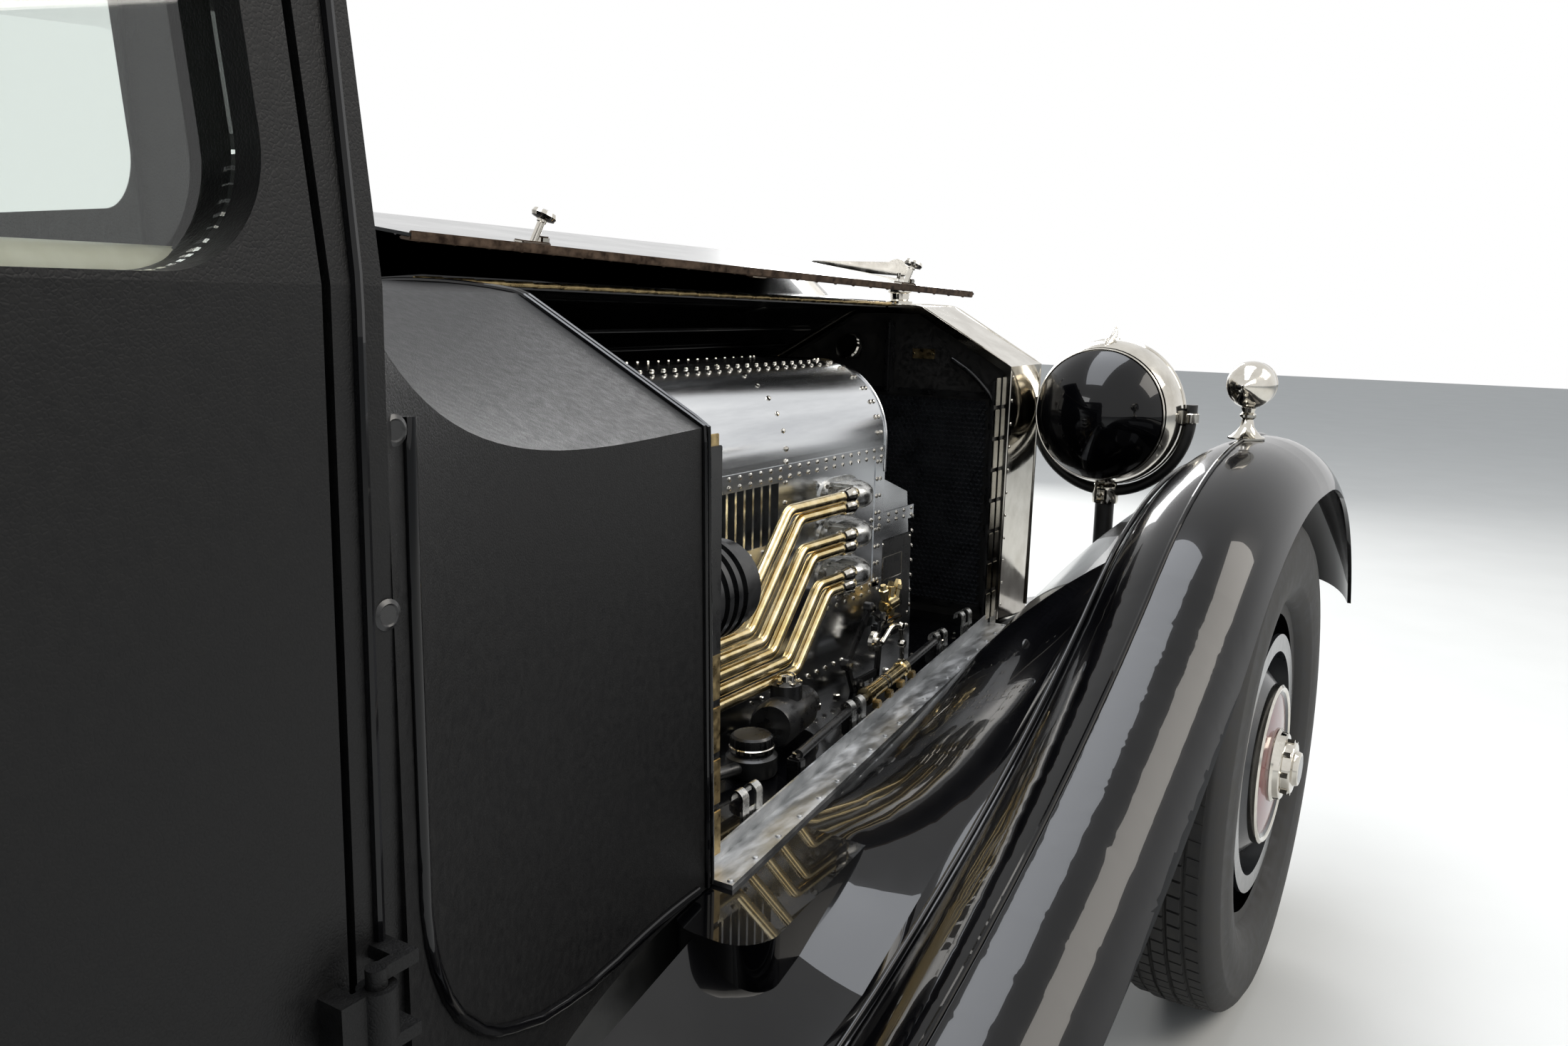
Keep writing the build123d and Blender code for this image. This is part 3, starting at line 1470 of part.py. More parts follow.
# Plan corners of the tool boxes under the valances, beside the rails
box_plan = [
    (scuttle_front_x - 98.0, -rail_y_rear - 15.0),
    (front_axle_x - 690.0, -rail_half_width(front_axle_x - 690.0) - 17.0),
    (front_axle_x - 690.0, -rail_half_width(front_axle_x - 690.0) - 137.0),
    (scuttle_front_x - 98.0, -rail_y_rear - 135.0),
]
box_bottom_z = 445.0
box_corner = 45.0
post_x = headlamp_x + 6.0
post_radius = 19.0

with BuildPart() as tool_box:
    with BuildSketch(Plane.XY.offset(box_bottom_z)):
        with BuildLine():
            Polyline(*box_plan, close=True)
        make_face()
    extrude(amount=tray_top - box_bottom_z)
    fillet(tool_box.edges().filter_by(lambda edge: edge.center().Z < tray_top - 1.0), radius=box_corner)

with BuildPart() as front_valances:
    loft(sections=[valance_section(row) for row in valance_table], ruled=True)
    add(tool_box.part)
    with BuildSketch(Plane.XY):
        with Locations((post_x, -headlamp_y)):
            Circle(post_radius + fit_gap)
    extrude(amount=wing_top_z, mode=Mode.SUBTRACT)
    mirror(about=Plane.XZ)
finish(front_valances.part, "front_valances")

# Radiator: a nickel shell with a pointed top, its core and header tank, and the upright slats in front
shell_outline = [
    (-bonnet_front_bottom_y - 2.0, tray_top),
    (-bonnet_front_shoulder_y - 2.0, bonnet_front_shoulder_z + 1.0),
    (-bonnet_front_knee_y, bonnet_front_top - 1.0),
    (0.0, bonnet_front_top + 1.0),
]


def mirrored_outline(points):
    """A left half made from a right half that ends on the centre line."""
    return points + [(-y, z) for y, z in reversed(points[:-1])]


def inset_outline(inset, low):
    """The shell's outline moved inwards by inset, cut off at low."""
    far_shoulder = (-shell_outline[2][0], shell_outline[2][1])
    inner = mitred([(shell_outline[0][0], low - 100.0)] + shell_outline[1:] + [far_shoulder], -inset)
    first = inner[0]
    return mirrored_outline([(first[0] + 2.0, low), first, inner[1], (0.0, inner[1][1] + 1.0)])


slat_count = 17
slat_width = 5.0
slat_depth = 22.0
slat_x = shell_front_x - 40.0
slat_pitch = 2.0 * (bonnet_front_bottom_y - 34.0) / (slat_count - 1)
slat_slope = (shell_outline[2][1] - shell_outline[1][1]) / (shell_outline[2][0] - shell_outline[1][0])
slat_shoulder = bonnet_front_shoulder_y + 8.0
with BuildPart() as radiator_shell:
    with BuildSketch(section_plane(shell_rear_x)):
        with BuildLine():
            Polyline(*mirrored_outline(shell_outline), close=True)
        make_face()
        with BuildLine():
            Polyline(*inset_outline(shell_wall, tray_top - 10.0), close=True)
        make_face(mode=Mode.SUBTRACT)
    extrude(amount=shell_depth)
    with BuildSketch(section_plane(slat_x - slat_depth / 2)):
        with Locations((0, tray_top + 14.0)):
            Rectangle(2.0 * (bonnet_front_bottom_y - 10.0), 28.0)
        with Locations((0, (tray_top + shell_outline[1][1]) / 2)):
            Rectangle(2.0 * (bonnet_front_bottom_y - 12.0), 10.0)
        for index in range(slat_count):
            y = (index - (slat_count - 1) / 2) * slat_pitch
            slat_top = min(shell_outline[2][1], shell_outline[1][1] + (slat_shoulder - abs(y)) * slat_slope)
            with Locations((y, (tray_top + slat_top - shell_wall) / 2)):
                Rectangle(slat_width, slat_top - shell_wall - tray_top)
    extrude(amount=slat_depth)
finish(radiator_shell.part, "radiator_shell")

core_rear_x = shell_rear_x + 24.0
core_depth = 90.0
tank_bottom_z = 1080.0
with BuildPart() as radiator_core:
    with BuildSketch(section_plane(core_rear_x)):
        with BuildLine():
            Polyline(*inset_outline(shell_wall + fit_gap, tray_top), close=True)
        make_face()
    extrude(amount=core_depth)
    with BuildSketch(section_plane(core_rear_x)):
        with Locations((0, (tray_top + tank_bottom_z) / 2)):
            Rectangle(440.0, tank_bottom_z - tray_top - 60.0)
    extrude(amount=12.0, mode=Mode.SUBTRACT)
    with BuildSketch(section_plane(core_rear_x + 4.0)):
        with Locations((0, (tray_top + tank_bottom_z) / 2)):
            Rectangle(440.0, tank_bottom_z - tray_top - 60.0)
    extrude(amount=8.0)
finish(radiator_core.part, "radiator_core")

# Radiator cap with a plain swept fin
cap_x = shell_rear_x + 50.0
with BuildPart() as radiator_cap:
    with BuildSketch(Plane(origin=(cap_x, 0, 0), x_dir=(1, 0, 0), z_dir=(0, -1, 0))):
        with BuildLine():
            Polyline(
                (0, bonnet_front_top + 1.2),
                (27.0, bonnet_front_top + 1.2),
                (27.0, bonnet_front_top + 9.0),
                (20.0, bonnet_front_top + 12.0),
                (20.0, bonnet_front_top + 24.0),
                (25.0, bonnet_front_top + 27.0),
                (24.0, bonnet_front_top + 34.0),
                (9.0, bonnet_front_top + 38.0),
                (8.0, bonnet_front_top + 66.0),
                (0, bonnet_front_top + 66.0),
                close=True,
            )
        make_face()
    revolve(axis=Axis((cap_x, 0, 0), (0, 0, 1)))
    with BuildSketch(section_plane(cap_x - 7.0)):
        with BuildLine():
            fin_z = bonnet_front_top + 74.0
            ThreePointArc((-24.0, fin_z), (-8.0, fin_z + 17.0), (24.0, fin_z + 14.0))
            Line((24.0, fin_z + 14.0), (205.0, fin_z + 17.0))
            ThreePointArc((205.0, fin_z + 17.0), (214.0, fin_z + 9.0), (205.0, fin_z + 1.0))
            ThreePointArc((205.0, fin_z + 1.0), (90.0, fin_z - 8.0), (0.0, fin_z - 14.0))
            ThreePointArc((0.0, fin_z - 14.0), (-18.0, fin_z - 11.0), (-24.0, fin_z))
        make_face()
    extrude(amount=14.0)
finish(radiator_cap.part, "radiator_cap")

# Drive cover in the engine bay: a tall case with rounded shoulders and a louvre, and a lower box in front
cover_top_z = cover_side_top + cover_shoulder_radius
louvre_x = (front_axle_x - 838.0, front_axle_x - 680.0)
louvre_z = (879.0, 970.0)
louvre_depth = 26.0
louvre_count = 7
louvre_bar = 5.0
port_x = front_axle_x - 514.0
port_heights = (931.0, 866.0, 802.0)
port_length = 100.0
port_height = 46.0
port_depth = 14.0

with BuildPart() as drive_cover:
    with BuildSketch(section_plane(cover_rear_x)):
        with BuildLine():
            Line((-cover_half_width, tray_top), (cover_half_width, tray_top))
            Line((cover_half_width, tray_top), (cover_half_width, cover_side_top))
            RadiusArc(
                (cover_half_width, cover_side_top),
                (cover_half_width - cover_shoulder_radius, cover_top_z),
                -cover_shoulder_radius,
            )
            top_half = cover_half_width - cover_shoulder_radius
            Line((top_half, cover_top_z), (-top_half, cover_top_z))
            RadiusArc(
                (cover_shoulder_radius - cover_half_width, cover_top_z),
                (-cover_half_width, cover_side_top),
                -cover_shoulder_radius,
            )
            Line((-cover_half_width, cover_side_top), (-cover_half_width, tray_top))
        make_face()
    extrude(amount=cover_front_x - cover_rear_x)
    with BuildSketch(side_plane(cover_half_width - 12.0)):
        with BuildLine():
            Polyline(
                (cover_front_x - 10.0, tray_top),
                (cover_front_x - 10.0, nose_box_top[0]),
                (cover_front_x, nose_box_top[0]),
                (cover_front_x + 115.0, nose_box_top[1]),
                (cover_front_x + 146.0, 677.0),
                (cover_front_x + 146.0, tray_top),
                close=True,
            )
        make_face()
    extrude(amount=2.0 * cover_half_width - 24.0)
    louvre_step = (louvre_x[1] - louvre_x[0]) / louvre_count
    with BuildSketch(side_plane(louvre_depth - cover_half_width)):
        with Locations(((louvre_x[0] + louvre_x[1]) / 2, (louvre_z[0] + louvre_z[1]) / 2)):
            Rectangle(louvre_x[1] - louvre_x[0], louvre_z[1] - louvre_z[0])
    extrude(amount=louvre_depth, mode=Mode.SUBTRACT)
    with BuildSketch(Plane.XY.offset(louvre_z[0] - 1.0)):
        for index in range(1, louvre_count):
            with Locations((louvre_x[0] + index * louvre_step, louvre_depth / 2 + 1.0 - cover_half_width)):
                Rectangle(louvre_bar, louvre_depth)
    extrude(amount=louvre_z[1] - louvre_z[0] + 2.0)
    with BuildSketch(side_plane(2.0 - cover_half_width)):
        for z in port_heights:
            with Locations((port_x + 20.0, z)):
                SlotOverall(port_length, port_height)
    extrude(amount=port_depth + 2.0)
finish(drive_cover.part, "drive_cover")

# Coolant pipes: from the ports out along the cover, down and back to the bulkhead
# height at the port, x of the knee behind the front axle, height on the low run
pipe_table = [
    (940.0, 730.0, 800.0),
    (922.0, 700.0, 778.0),
    (875.0, 690.0, 756.0),
    (857.0, 660.0, 734.0),
    (811.0, 640.0, 712.0),
    (793.0, 610.0, 690.0),
]
pipe_y = -cover_half_width - 50.0
pipe_slant = 0.9
with BuildPart() as coolant_pipes:
    for port_z, knee_back, low_z in pipe_table:
        knee_x = front_axle_x - knee_back
        start = (port_x, -cover_half_width - port_depth, port_z)
        with BuildLine() as pipe_line:
            FilletPolyline(
                start,
                (port_x, pipe_y, port_z),
                (knee_x, pipe_y, port_z),
                (knee_x - pipe_slant * (port_z - low_z), pipe_y, low_z),
                (scuttle_front_x + fit_gap, pipe_y, low_z),
                radius=24.0,
            )
        with BuildSketch(side_plane(start[1])):
            with Locations((port_x, port_z)):
                Circle(tube_radius)
        sweep(path=pipe_line.line)
finish(coolant_pipes.part, "coolant_pipes")

# Fittings in the engine bay: a ribbed duct on the bulkhead and a control box with levers on the ledge
duct_y = -300.0
duct_z = 884.0
duct_radius = 58.0
duct_length = 215.0
duct_ribs = 9
with BuildPart() as bay_fittings:
    add(rod(
        (scuttle_front_x + fit_gap, duct_y, duct_z),
        (scuttle_front_x + duct_length, duct_y, duct_z),
        duct_radius,
    ))
    for index in range(duct_ribs):
        x = scuttle_front_x + 20.0 + index * (duct_length - 40.0) / duct_ribs
        add(rod((x, duct_y, duct_z), (x + 9.0, duct_y, duct_z), duct_radius + 7.0))
finish(bay_fittings.part, "bay_fittings")

# Lamps: hollow headlamp bowls, side lamps on the front wings and tail lamps on the rear wings
rim_x = headlamp_x + 20.0
bowl_depth = 150.0
bowl_wall = 4.0
trunnion_radius = 8.0
fork_radius = headlamp_radius + 15.0
fork_tip = 24.0
lens_rise = 16.0
fork_tube = 11.0
fork_x = post_x
lens_gap = 0.5
tail_lamp_z = 745.0
tail_lamp_radius = 34.0
tail_lamp_x = rear_axle_x - rear_wing_radius + 20.0


def dome_middle(edge_x, edge_r, tip_x):
    """The middle of a round dome's profile, from its edge to its tip on the axis."""
    centre = (edge_x**2 + edge_r**2 - tip_x**2) / (2.0 * (edge_x - tip_x))
    tip_angle = 0.0 if tip_x > centre else pi
    angle = (atan2(edge_r, edge_x - centre) + tip_angle) / 2
    return (centre + abs(tip_x - centre) * cos(angle), abs(tip_x - centre) * sin(angle))


with BuildPart() as bowl:
    with BuildSketch(side_plane(0)):
        with BuildLine():
            outer_r = headlamp_radius
            inner_r = headlamp_radius - bowl_wall
            edge_x = rim_x - 20.0
            tip_x = edge_x - bowl_depth
            inner_tip_x = tip_x + bowl_wall
            Line((rim_x, inner_r), (rim_x, outer_r))
            Line((rim_x, outer_r), (edge_x, outer_r))
            ThreePointArc((edge_x, outer_r), dome_middle(edge_x, outer_r, tip_x), (tip_x, 0))
            Line((tip_x, 0), (inner_tip_x, 0))
            ThreePointArc((inner_tip_x, 0), dome_middle(edge_x, inner_r, inner_tip_x), (edge_x, inner_r))
            Line((edge_x, inner_r), (rim_x, inner_r))
        make_face()
    revolve(axis=Axis.X)

with BuildPart() as lamps:
    add(bowl.part.moved(Location((0, -headlamp_y, headlamp_z))))
    with BuildSketch(side_plane(-headlamp_y + 3.0)):
        with BuildLine():
            Polyline(
                (rim_x - 4.0, headlamp_z + headlamp_radius - 2.0),
                (rim_x - 6.0, headlamp_z + headlamp_radius + 24.0),
                (rim_x - 22.0, headlamp_z + headlamp_radius + 20.0),
                (rim_x - 92.0, headlamp_z + headlamp_radius - 24.0),
                (rim_x - 40.0, headlamp_z + headlamp_radius - 6.0),
                close=True,
            )
        make_face()
    extrude(amount=6.0)
    for side in (-1, 1):
        add(rod(
            (fork_x, side * (headlamp_radius - 2.0) - headlamp_y, headlamp_z),
            (fork_x, side * (fork_radius - fork_tube - fit_gap) - headlamp_y, headlamp_z),
            trunnion_radius,
        ))
    with Locations((sidelamp_x, -sidelamp_y, sidelamp_z)):
        Sphere(sidelamp_radius)
    add(rod(
        (sidelamp_x, -sidelamp_y, wing_top_z + fit_gap),
        (sidelamp_x, -sidelamp_y, sidelamp_z),
        sidelamp_stem,
    ))
    add(rod(
        (sidelamp_x, -sidelamp_y, wing_top_z + fit_gap),
        (sidelamp_x, -sidelamp_y, wing_top_z + 6.0),
        2.0 * sidelamp_stem,
    ))
    with BuildSketch(section_plane(sidelamp_x + sidelamp_radius - 14.0)):
        with Locations((-sidelamp_y, sidelamp_z)):
            Circle(sidelamp_radius - 12.0)
    extrude(amount=30.0, mode=Mode.SUBTRACT)
    tail_front = (tail_lamp_x + 60.0, -sidelamp_y, tail_lamp_z)
    add(rod(tail_front, (tail_lamp_x - 30.0, -sidelamp_y, tail_lamp_z), tail_lamp_radius))
    add(rod(
        (tail_lamp_x - 20.0, -sidelamp_y, tail_lamp_z),
        (tail_lamp_x - 40.0, -sidelamp_y, tail_lamp_z),
        tail_lamp_radius - 5.0,
    ), mode=Mode.SUBTRACT)
    with BuildSketch(side_plane(-wing_inner_y)):
        with Locations((rear_axle_x, hub_z)):
            Circle(rear_wing_radius + fit_gap)
    extrude(amount=wing_outer_y - wing_inner_y, mode=Mode.SUBTRACT)
    mirror(about=Plane.XZ)
finish(lamps.part, "lamps")

with BuildPart() as lens:
    with BuildSketch(side_plane(0)):
        with BuildLine():
            lens_radius = headlamp_radius - bowl_wall - lens_gap
            outer, inner = rim_x - 2.0, rim_x - 6.0
            outer_tip, inner_tip = outer + lens_rise, inner + lens_rise
            Line((inner, lens_radius), (outer, lens_radius))
            ThreePointArc((outer, lens_radius), dome_middle(outer, lens_radius, outer_tip), (outer_tip, 0))
            Line((outer_tip, 0), (inner_tip, 0))
            ThreePointArc((inner_tip, 0), dome_middle(inner, lens_radius, inner_tip), (inner, lens_radius))
        make_face()
    revolve(axis=Axis.X)
with BuildPart() as lamp_lenses:
    add(lens.part.moved(Location((0, -headlamp_y, headlamp_z))))
    add(rod(
        (sidelamp_x + sidelamp_radius - 14.0 + fit_gap, -sidelamp_y, sidelamp_z),
        (sidelamp_x + sidelamp_radius - 6.0, -sidelamp_y, sidelamp_z),
        sidelamp_radius - 12.0 - lens_gap,
    ))
    add(rod(
        (tail_lamp_x - 20.0 - fit_gap, -sidelamp_y, tail_lamp_z),
        (tail_lamp_x - 31.0, -sidelamp_y, tail_lamp_z),
        tail_lamp_radius - 5.0 - lens_gap,
    ))
    mirror(about=Plane.XZ)
finish(lamp_lenses.part, "lamp_lenses")

# Headlamp stays: a fork round each lamp on a post, with an arm to the chassis rail
fork_outer_y = -headlamp_y - fork_radius
fork_inner_y = -headlamp_y + fork_radius
with BuildPart() as lamp_stays:
    with BuildLine() as fork_line:
        Line((fork_x, fork_outer_y, headlamp_z + fork_tip), (fork_x, fork_outer_y, headlamp_z))
        ThreePointArc(
            (fork_x, fork_outer_y, headlamp_z),
            (fork_x, -headlamp_y, headlamp_z - fork_radius),
            (fork_x, fork_inner_y, headlamp_z),
        )
        Line((fork_x, fork_inner_y, headlamp_z), (fork_x, fork_inner_y, headlamp_z + fork_tip))
    with BuildSketch(Plane(origin=(fork_x, fork_outer_y, headlamp_z + fork_tip), z_dir=(0, 0, -1))):
        Circle(fork_tube)
    sweep(path=fork_line.line)
    post_top = (post_x, -headlamp_y, headlamp_z - fork_radius)
    add(rod(post_top, (post_x, -headlamp_y, stay_z - post_radius), post_radius))
    add(rod((post_x, -headlamp_y, stay_z), (post_x, -rail_y_front - fit_gap, stay_z), post_radius - 2.0))
    mirror(about=Plane.XZ)
finish(lamp_stays.part, "lamp_stays")

# Trunk on the rails behind the body, with a lid hinged on its front edge
trunk_front_x = tail_body_x - 14.0
lid_front_x = trunk_front_x - panel_gap
trunk_rim_z = trunk_top_z - trunk_lid_height - panel_gap
lid_pin = (trunk_front_x + 3.0, trunk_top_z + 5.0)
lid_pin_radius = 3.5
lid_barrel_radius = 6.5
lid_hinge_y = 330.0
strap_width = 50.0
with BuildPart() as trunk:
    with BuildSketch(Plane.XY.offset(trunk_bottom_z)):
        with Locations(((trunk_front_x + trunk_rear_x) / 2, 0)):
            Rectangle(trunk_front_x - trunk_rear_x, 2.0 * trunk_half_width)
    extrude(amount=trunk_rim_z - trunk_bottom_z)
    fillet(trunk.edges().filter_by(Axis.Z), radius=24.0)
    with BuildSketch(Plane.XY.offset(trunk_bottom_z + trunk_wall)):
        with Locations(((trunk_front_x + trunk_rear_x) / 2, 0)):
            Rectangle(trunk_front_x - trunk_rear_x - 2.0 * trunk_wall, 2.0 * (trunk_half_width - trunk_wall))
    extrude(amount=trunk_rim_z - trunk_bottom_z, mode=Mode.SUBTRACT)
    with BuildSketch(section_plane(trunk_front_x - 1.0)):
        for y in (-lid_hinge_y, lid_hinge_y):
            with Locations((y, (trunk_rim_z - 60.0 + lid_pin[1]) / 2)):
                Rectangle(strap_width, lid_pin[1] - trunk_rim_z + 60.0)
    extrude(amount=5.0)
    for y in (-lid_hinge_y, lid_hinge_y):
        add(rod(
            (lid_pin[0], y - strap_width / 2, lid_pin[1]),
            (lid_pin[0], y + strap_width / 2, lid_pin[1]),
            lid_barrel_radius,
        ))
        add(rod(
            (lid_pin[0], y - strap_width, lid_pin[1]),
            (lid_pin[0], y + strap_width, lid_pin[1]),
            lid_pin_radius,
        ))
finish(trunk.part, "trunk")

with BuildPart() as trunk_lid:
    with BuildSketch(Plane.XY.offset(trunk_rim_z + panel_gap)):
        with Locations(((lid_front_x + trunk_rear_x) / 2, 0)):
            Rectangle(lid_front_x - trunk_rear_x, 2.0 * trunk_half_width)
    extrude(amount=trunk_lid_height)
    fillet(trunk_lid.edges().filter_by(Axis.Z), radius=24.0)
    fillet(trunk_lid.edges().filter_by(lambda edge: edge.center().Z > trunk_top_z - 1.0), radius=14.0)
    with BuildSketch(Plane.XY.offset(trunk_rim_z)):
        with Locations(((lid_front_x + trunk_rear_x) / 2, 0)):
            Rectangle(lid_front_x - trunk_rear_x - 2.0 * trunk_wall, 2.0 * (trunk_half_width - trunk_wall))
    extrude(amount=trunk_lid_height + panel_gap - trunk_wall, mode=Mode.SUBTRACT)
    for y in (-lid_hinge_y, lid_hinge_y):
        for side in (-1, 1):
            inner = y + side * (strap_width / 2 + 2.0)
            outer = y + side * (strap_width - 1.0)
            add(rod((lid_pin[0], inner, lid_pin[1]), (lid_pin[0], outer, lid_pin[1]), lid_barrel_radius))
            with BuildSketch(side_plane(max(inner, outer))):
                with BuildLine():
                    Polyline(
                        (lid_pin[0], lid_pin[1] - lid_pin_radius),
                        (lid_pin[0], lid_pin[1] + lid_barrel_radius),
                        (lid_front_x - 40.0, trunk_top_z + 4.0),
                        (lid_front_x - 40.0, trunk_top_z - 6.0),
                        (lid_front_x - 3.0, trunk_top_z - 20.0),
                        (lid_front_x - 1.0, trunk_top_z - 4.0),
                        close=True,
                    )
                make_face()
            extrude(amount=abs(outer - inner))
    add(rod(
        (lid_pin[0], -trunk_half_width, lid_pin[1]),
        (lid_pin[0], trunk_half_width, lid_pin[1]),
        lid_pin_radius + fit_gap,
    ), mode=Mode.SUBTRACT)
finish(trunk_lid.part, "trunk_lid")
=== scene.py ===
# Studio, finishes and fine pieces of the open-bonnet saloon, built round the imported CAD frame
from math import atan2, cos, pi, radians, sin, sqrt

import bmesh
import bpy
from mathutils import Matrix, Vector
from mathutils.bvhtree import BVHTree


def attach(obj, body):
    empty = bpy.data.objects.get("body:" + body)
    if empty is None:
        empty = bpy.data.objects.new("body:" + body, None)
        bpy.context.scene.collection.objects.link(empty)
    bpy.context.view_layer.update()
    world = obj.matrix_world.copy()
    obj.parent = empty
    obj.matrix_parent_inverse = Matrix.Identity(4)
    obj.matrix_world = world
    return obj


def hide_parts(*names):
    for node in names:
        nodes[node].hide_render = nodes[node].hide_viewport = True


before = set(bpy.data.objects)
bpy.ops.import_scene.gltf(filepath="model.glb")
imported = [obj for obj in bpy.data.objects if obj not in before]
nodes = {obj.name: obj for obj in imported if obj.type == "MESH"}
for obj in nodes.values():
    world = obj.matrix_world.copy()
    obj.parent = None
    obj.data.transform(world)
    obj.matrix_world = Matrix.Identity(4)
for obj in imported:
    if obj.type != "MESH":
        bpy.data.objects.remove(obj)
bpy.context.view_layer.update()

print("frame loaded:", len(nodes), "nodes")


# Small tools: colours, nodes, and mesh makers that work in millimetres

def linearColour(hexCode):
    channels = [int(hexCode[i:i + 2], 16) / 255.0 for i in (1, 3, 5)]
    return tuple(c / 12.92 if c <= 0.04045 else ((c + 0.055) / 1.055) ** 2.4 for c in channels) + (1.0,)


def addNode(tree, kind, settings=None, links=None):
    node = tree.nodes.new(kind)
    for key, value in (settings or {}).items():
        if isinstance(key, str) and key[0].islower():
            setattr(node, key, value)
        else:
            node.inputs[key].default_value = value
    for key, source in (links or {}).items():
        tree.links.new(source, node.inputs[key])
    return node


def basis(axis):
    w = Vector(axis).normalized()
    helper = Vector((0, 0, 1)) if abs(w.z) < 0.9 else Vector((1, 0, 0))
    u = helper.cross(w).normalized()
    return u, w.cross(u), w


def turned(bm, profile, centre, axis, sides=32, index=0):
    # profile is (radius, distance along the axis) pairs
    u, v, w = basis(axis)
    angles = [2.0 * pi * i / sides for i in range(sides)]
    rings = []
    for radius, along in profile:
        middle = Vector(centre) + w * along
        if radius < 0.001:
            rings.append([bm.verts.new(middle)] * sides)
        else:
            rings.append([bm.verts.new(middle + (u * cos(a) + v * sin(a)) * radius) for a in angles])
    for lower, upper in zip(rings, rings[1:]):
        for i in range(sides):
            j = (i + 1) % sides
            corners = list(dict.fromkeys([lower[i], lower[j], upper[j], upper[i]]))
            if len(corners) > 2:
                face = bm.faces.new(corners)
                face.smooth = True
                face.material_index = index


def bent(points, bend, steps=5):
    # a path whose corners are rounded by arcs of about the bend radius
    path = [Vector(points[0])]
    for before, corner, after in zip(points, points[1:], points[2:]):
        corner = Vector(corner)
        a = Vector(before) - corner
        b = Vector(after) - corner
        cut = min(bend, a.length * 0.45, b.length * 0.45)
        start, end = corner + a.normalized() * cut, corner + b.normalized() * cut
        for i in range(steps + 1):
            t = i / steps
            path.append(start * (1 - t) ** 2 + corner * 2 * t * (1 - t) + end * t ** 2)
    path.append(Vector(points[-1]))
    return path


def swept(bm, path, section, closed=False, index=0):
    # carries a closed section of (across, up) pairs along a path without twist
    path = [Vector(p) for p in path]
    count = len(path)
    rings = []
    up = None
    for i, point in enumerate(path):
        if closed:
            along = (path[(i + 1) % count] - path[i - 1]).normalized()
        else:
            along = (path[min(i + 1, count - 1)] - path[max(i - 1, 0)]).normalized()
        if up is None:
            up = Vector((0, 0, 1)) if abs(along.z) < 0.9 else Vector((0, 1, 0))
        across = up.cross(along).normalized()
        up = along.cross(across).normalized()
        rings.append([bm.verts.new(point + across * a + up * b) for a, b in section])
    pairs = list(zip(rings, rings[1:])) + ([(rings[-1], rings[0])] if closed else [])
    n = len(section)
    for lower, upper in pairs:
        for i in range(n):
            face = bm.faces.new((lower[i], lower[(i + 1) % n], upper[(i + 1) % n], upper[i]))
            face.smooth = True
            face.material_index = index
    if not closed:
        for ring in (rings[0], rings[-1]):
            bm.faces.new(ring).material_index = index


def roundSection(radius, sides=12):
    return [(radius * cos(2 * pi * i / sides), radius * sin(2 * pi * i / sides)) for i in range(sides)]


def pipe(bm, points, radius, bend=0.0, sides=12, index=0):
    path = bent(points, bend) if bend else [Vector(p) for p in points]
    swept(bm, path, roundSection(radius, sides), index=index)


def block(bm, centre, size, edge=1.0, turn=None, index=0):
    # a box with eased edges; turn is a rotation matrix
    place = Matrix.Translation(Vector(centre)) @ (turn or Matrix.Identity(4))
    made = bmesh.ops.create_cube(bm, size=1.0, matrix=place @ Matrix.Diagonal((*size, 1.0)))
    edges = {e for v in made["verts"] for e in v.link_edges}
    faces = {f for v in made["verts"] for f in v.link_faces}
    for face in faces:
        face.material_index = index
    if edge:
        bmesh.ops.bevel(bm, geom=list(edges), offset=edge, segments=2, affect="EDGES", clamp_overlap=True)


def plate(bm, outline, thickness, place, edge=0.0, index=0):
    # outline in the plane of place's x and y, given thickness along its z
    low = [bm.verts.new(place @ Vector((x, y, 0))) for x, y in outline]
    high = [bm.verts.new(place @ Vector((x, y, thickness))) for x, y in outline]
    faces = [bm.faces.new(low), bm.faces.new(high)]
    n = len(outline)
    for i in range(n):
        faces.append(bm.faces.new((low[i], low[(i + 1) % n], high[(i + 1) % n], high[i])))
    for face in faces:
        face.material_index = index
    if edge:
        rim = [e for e in faces[1].edges]
        bmesh.ops.bevel(bm, geom=rim, offset=edge, segments=2, affect="EDGES", clamp_overlap=True)


def slab(bm, bounds, y, thickness, edge, gap=0.0):
    # an upright block between (low x, high x, low z, high z), narrower by the gap
    x0, x1, z0, z1 = bounds
    block(bm, ((x0 + x1) / 2, y, (z0 + z1) / 2), (x1 - x0 - gap, thickness, z1 - z0 - gap), edge)


def nut(bm, radius, height, place, axis, index):
    turned(bm, [(0, 0), (radius, 0), (radius, height), (0, height + 1)], place, axis, 6, index)


def linked(name, data):
    thing = bpy.data.objects.new(name, data)
    bpy.context.scene.collection.objects.link(thing)
    return thing


def meshFrom(name, bm):
    # the finished shape as a mesh in metres
    bmesh.ops.recalc_face_normals(bm, faces=bm.faces)
    bm.transform(Matrix.Scale(0.001, 4))
    mesh = bpy.data.meshes.new(name)
    bm.to_mesh(mesh)
    bm.free()
    return mesh


def finishPiece(name, bm, finishNames, body="car", sharp=38.0):
    bmesh.ops.remove_doubles(bm, verts=bm.verts, dist=0.005)
    return showMesh(name, meshFrom(name, bm), finishNames, body, sharp)


def showMesh(name, mesh, finishNames, body="car", sharp=38.0):
    for polygon in mesh.polygons:
        polygon.use_smooth = True
    mesh.set_sharp_from_angle(angle=radians(sharp))
    if not mesh.materials:
        for finish in finishNames:
            mesh.materials.append(finishes[finish])
    piece = linked(name, mesh)
    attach(piece, body)
    return piece


# Camera at the photograph's place, from the fit to the front tyre: 28 mm lens on a 36 mm frame

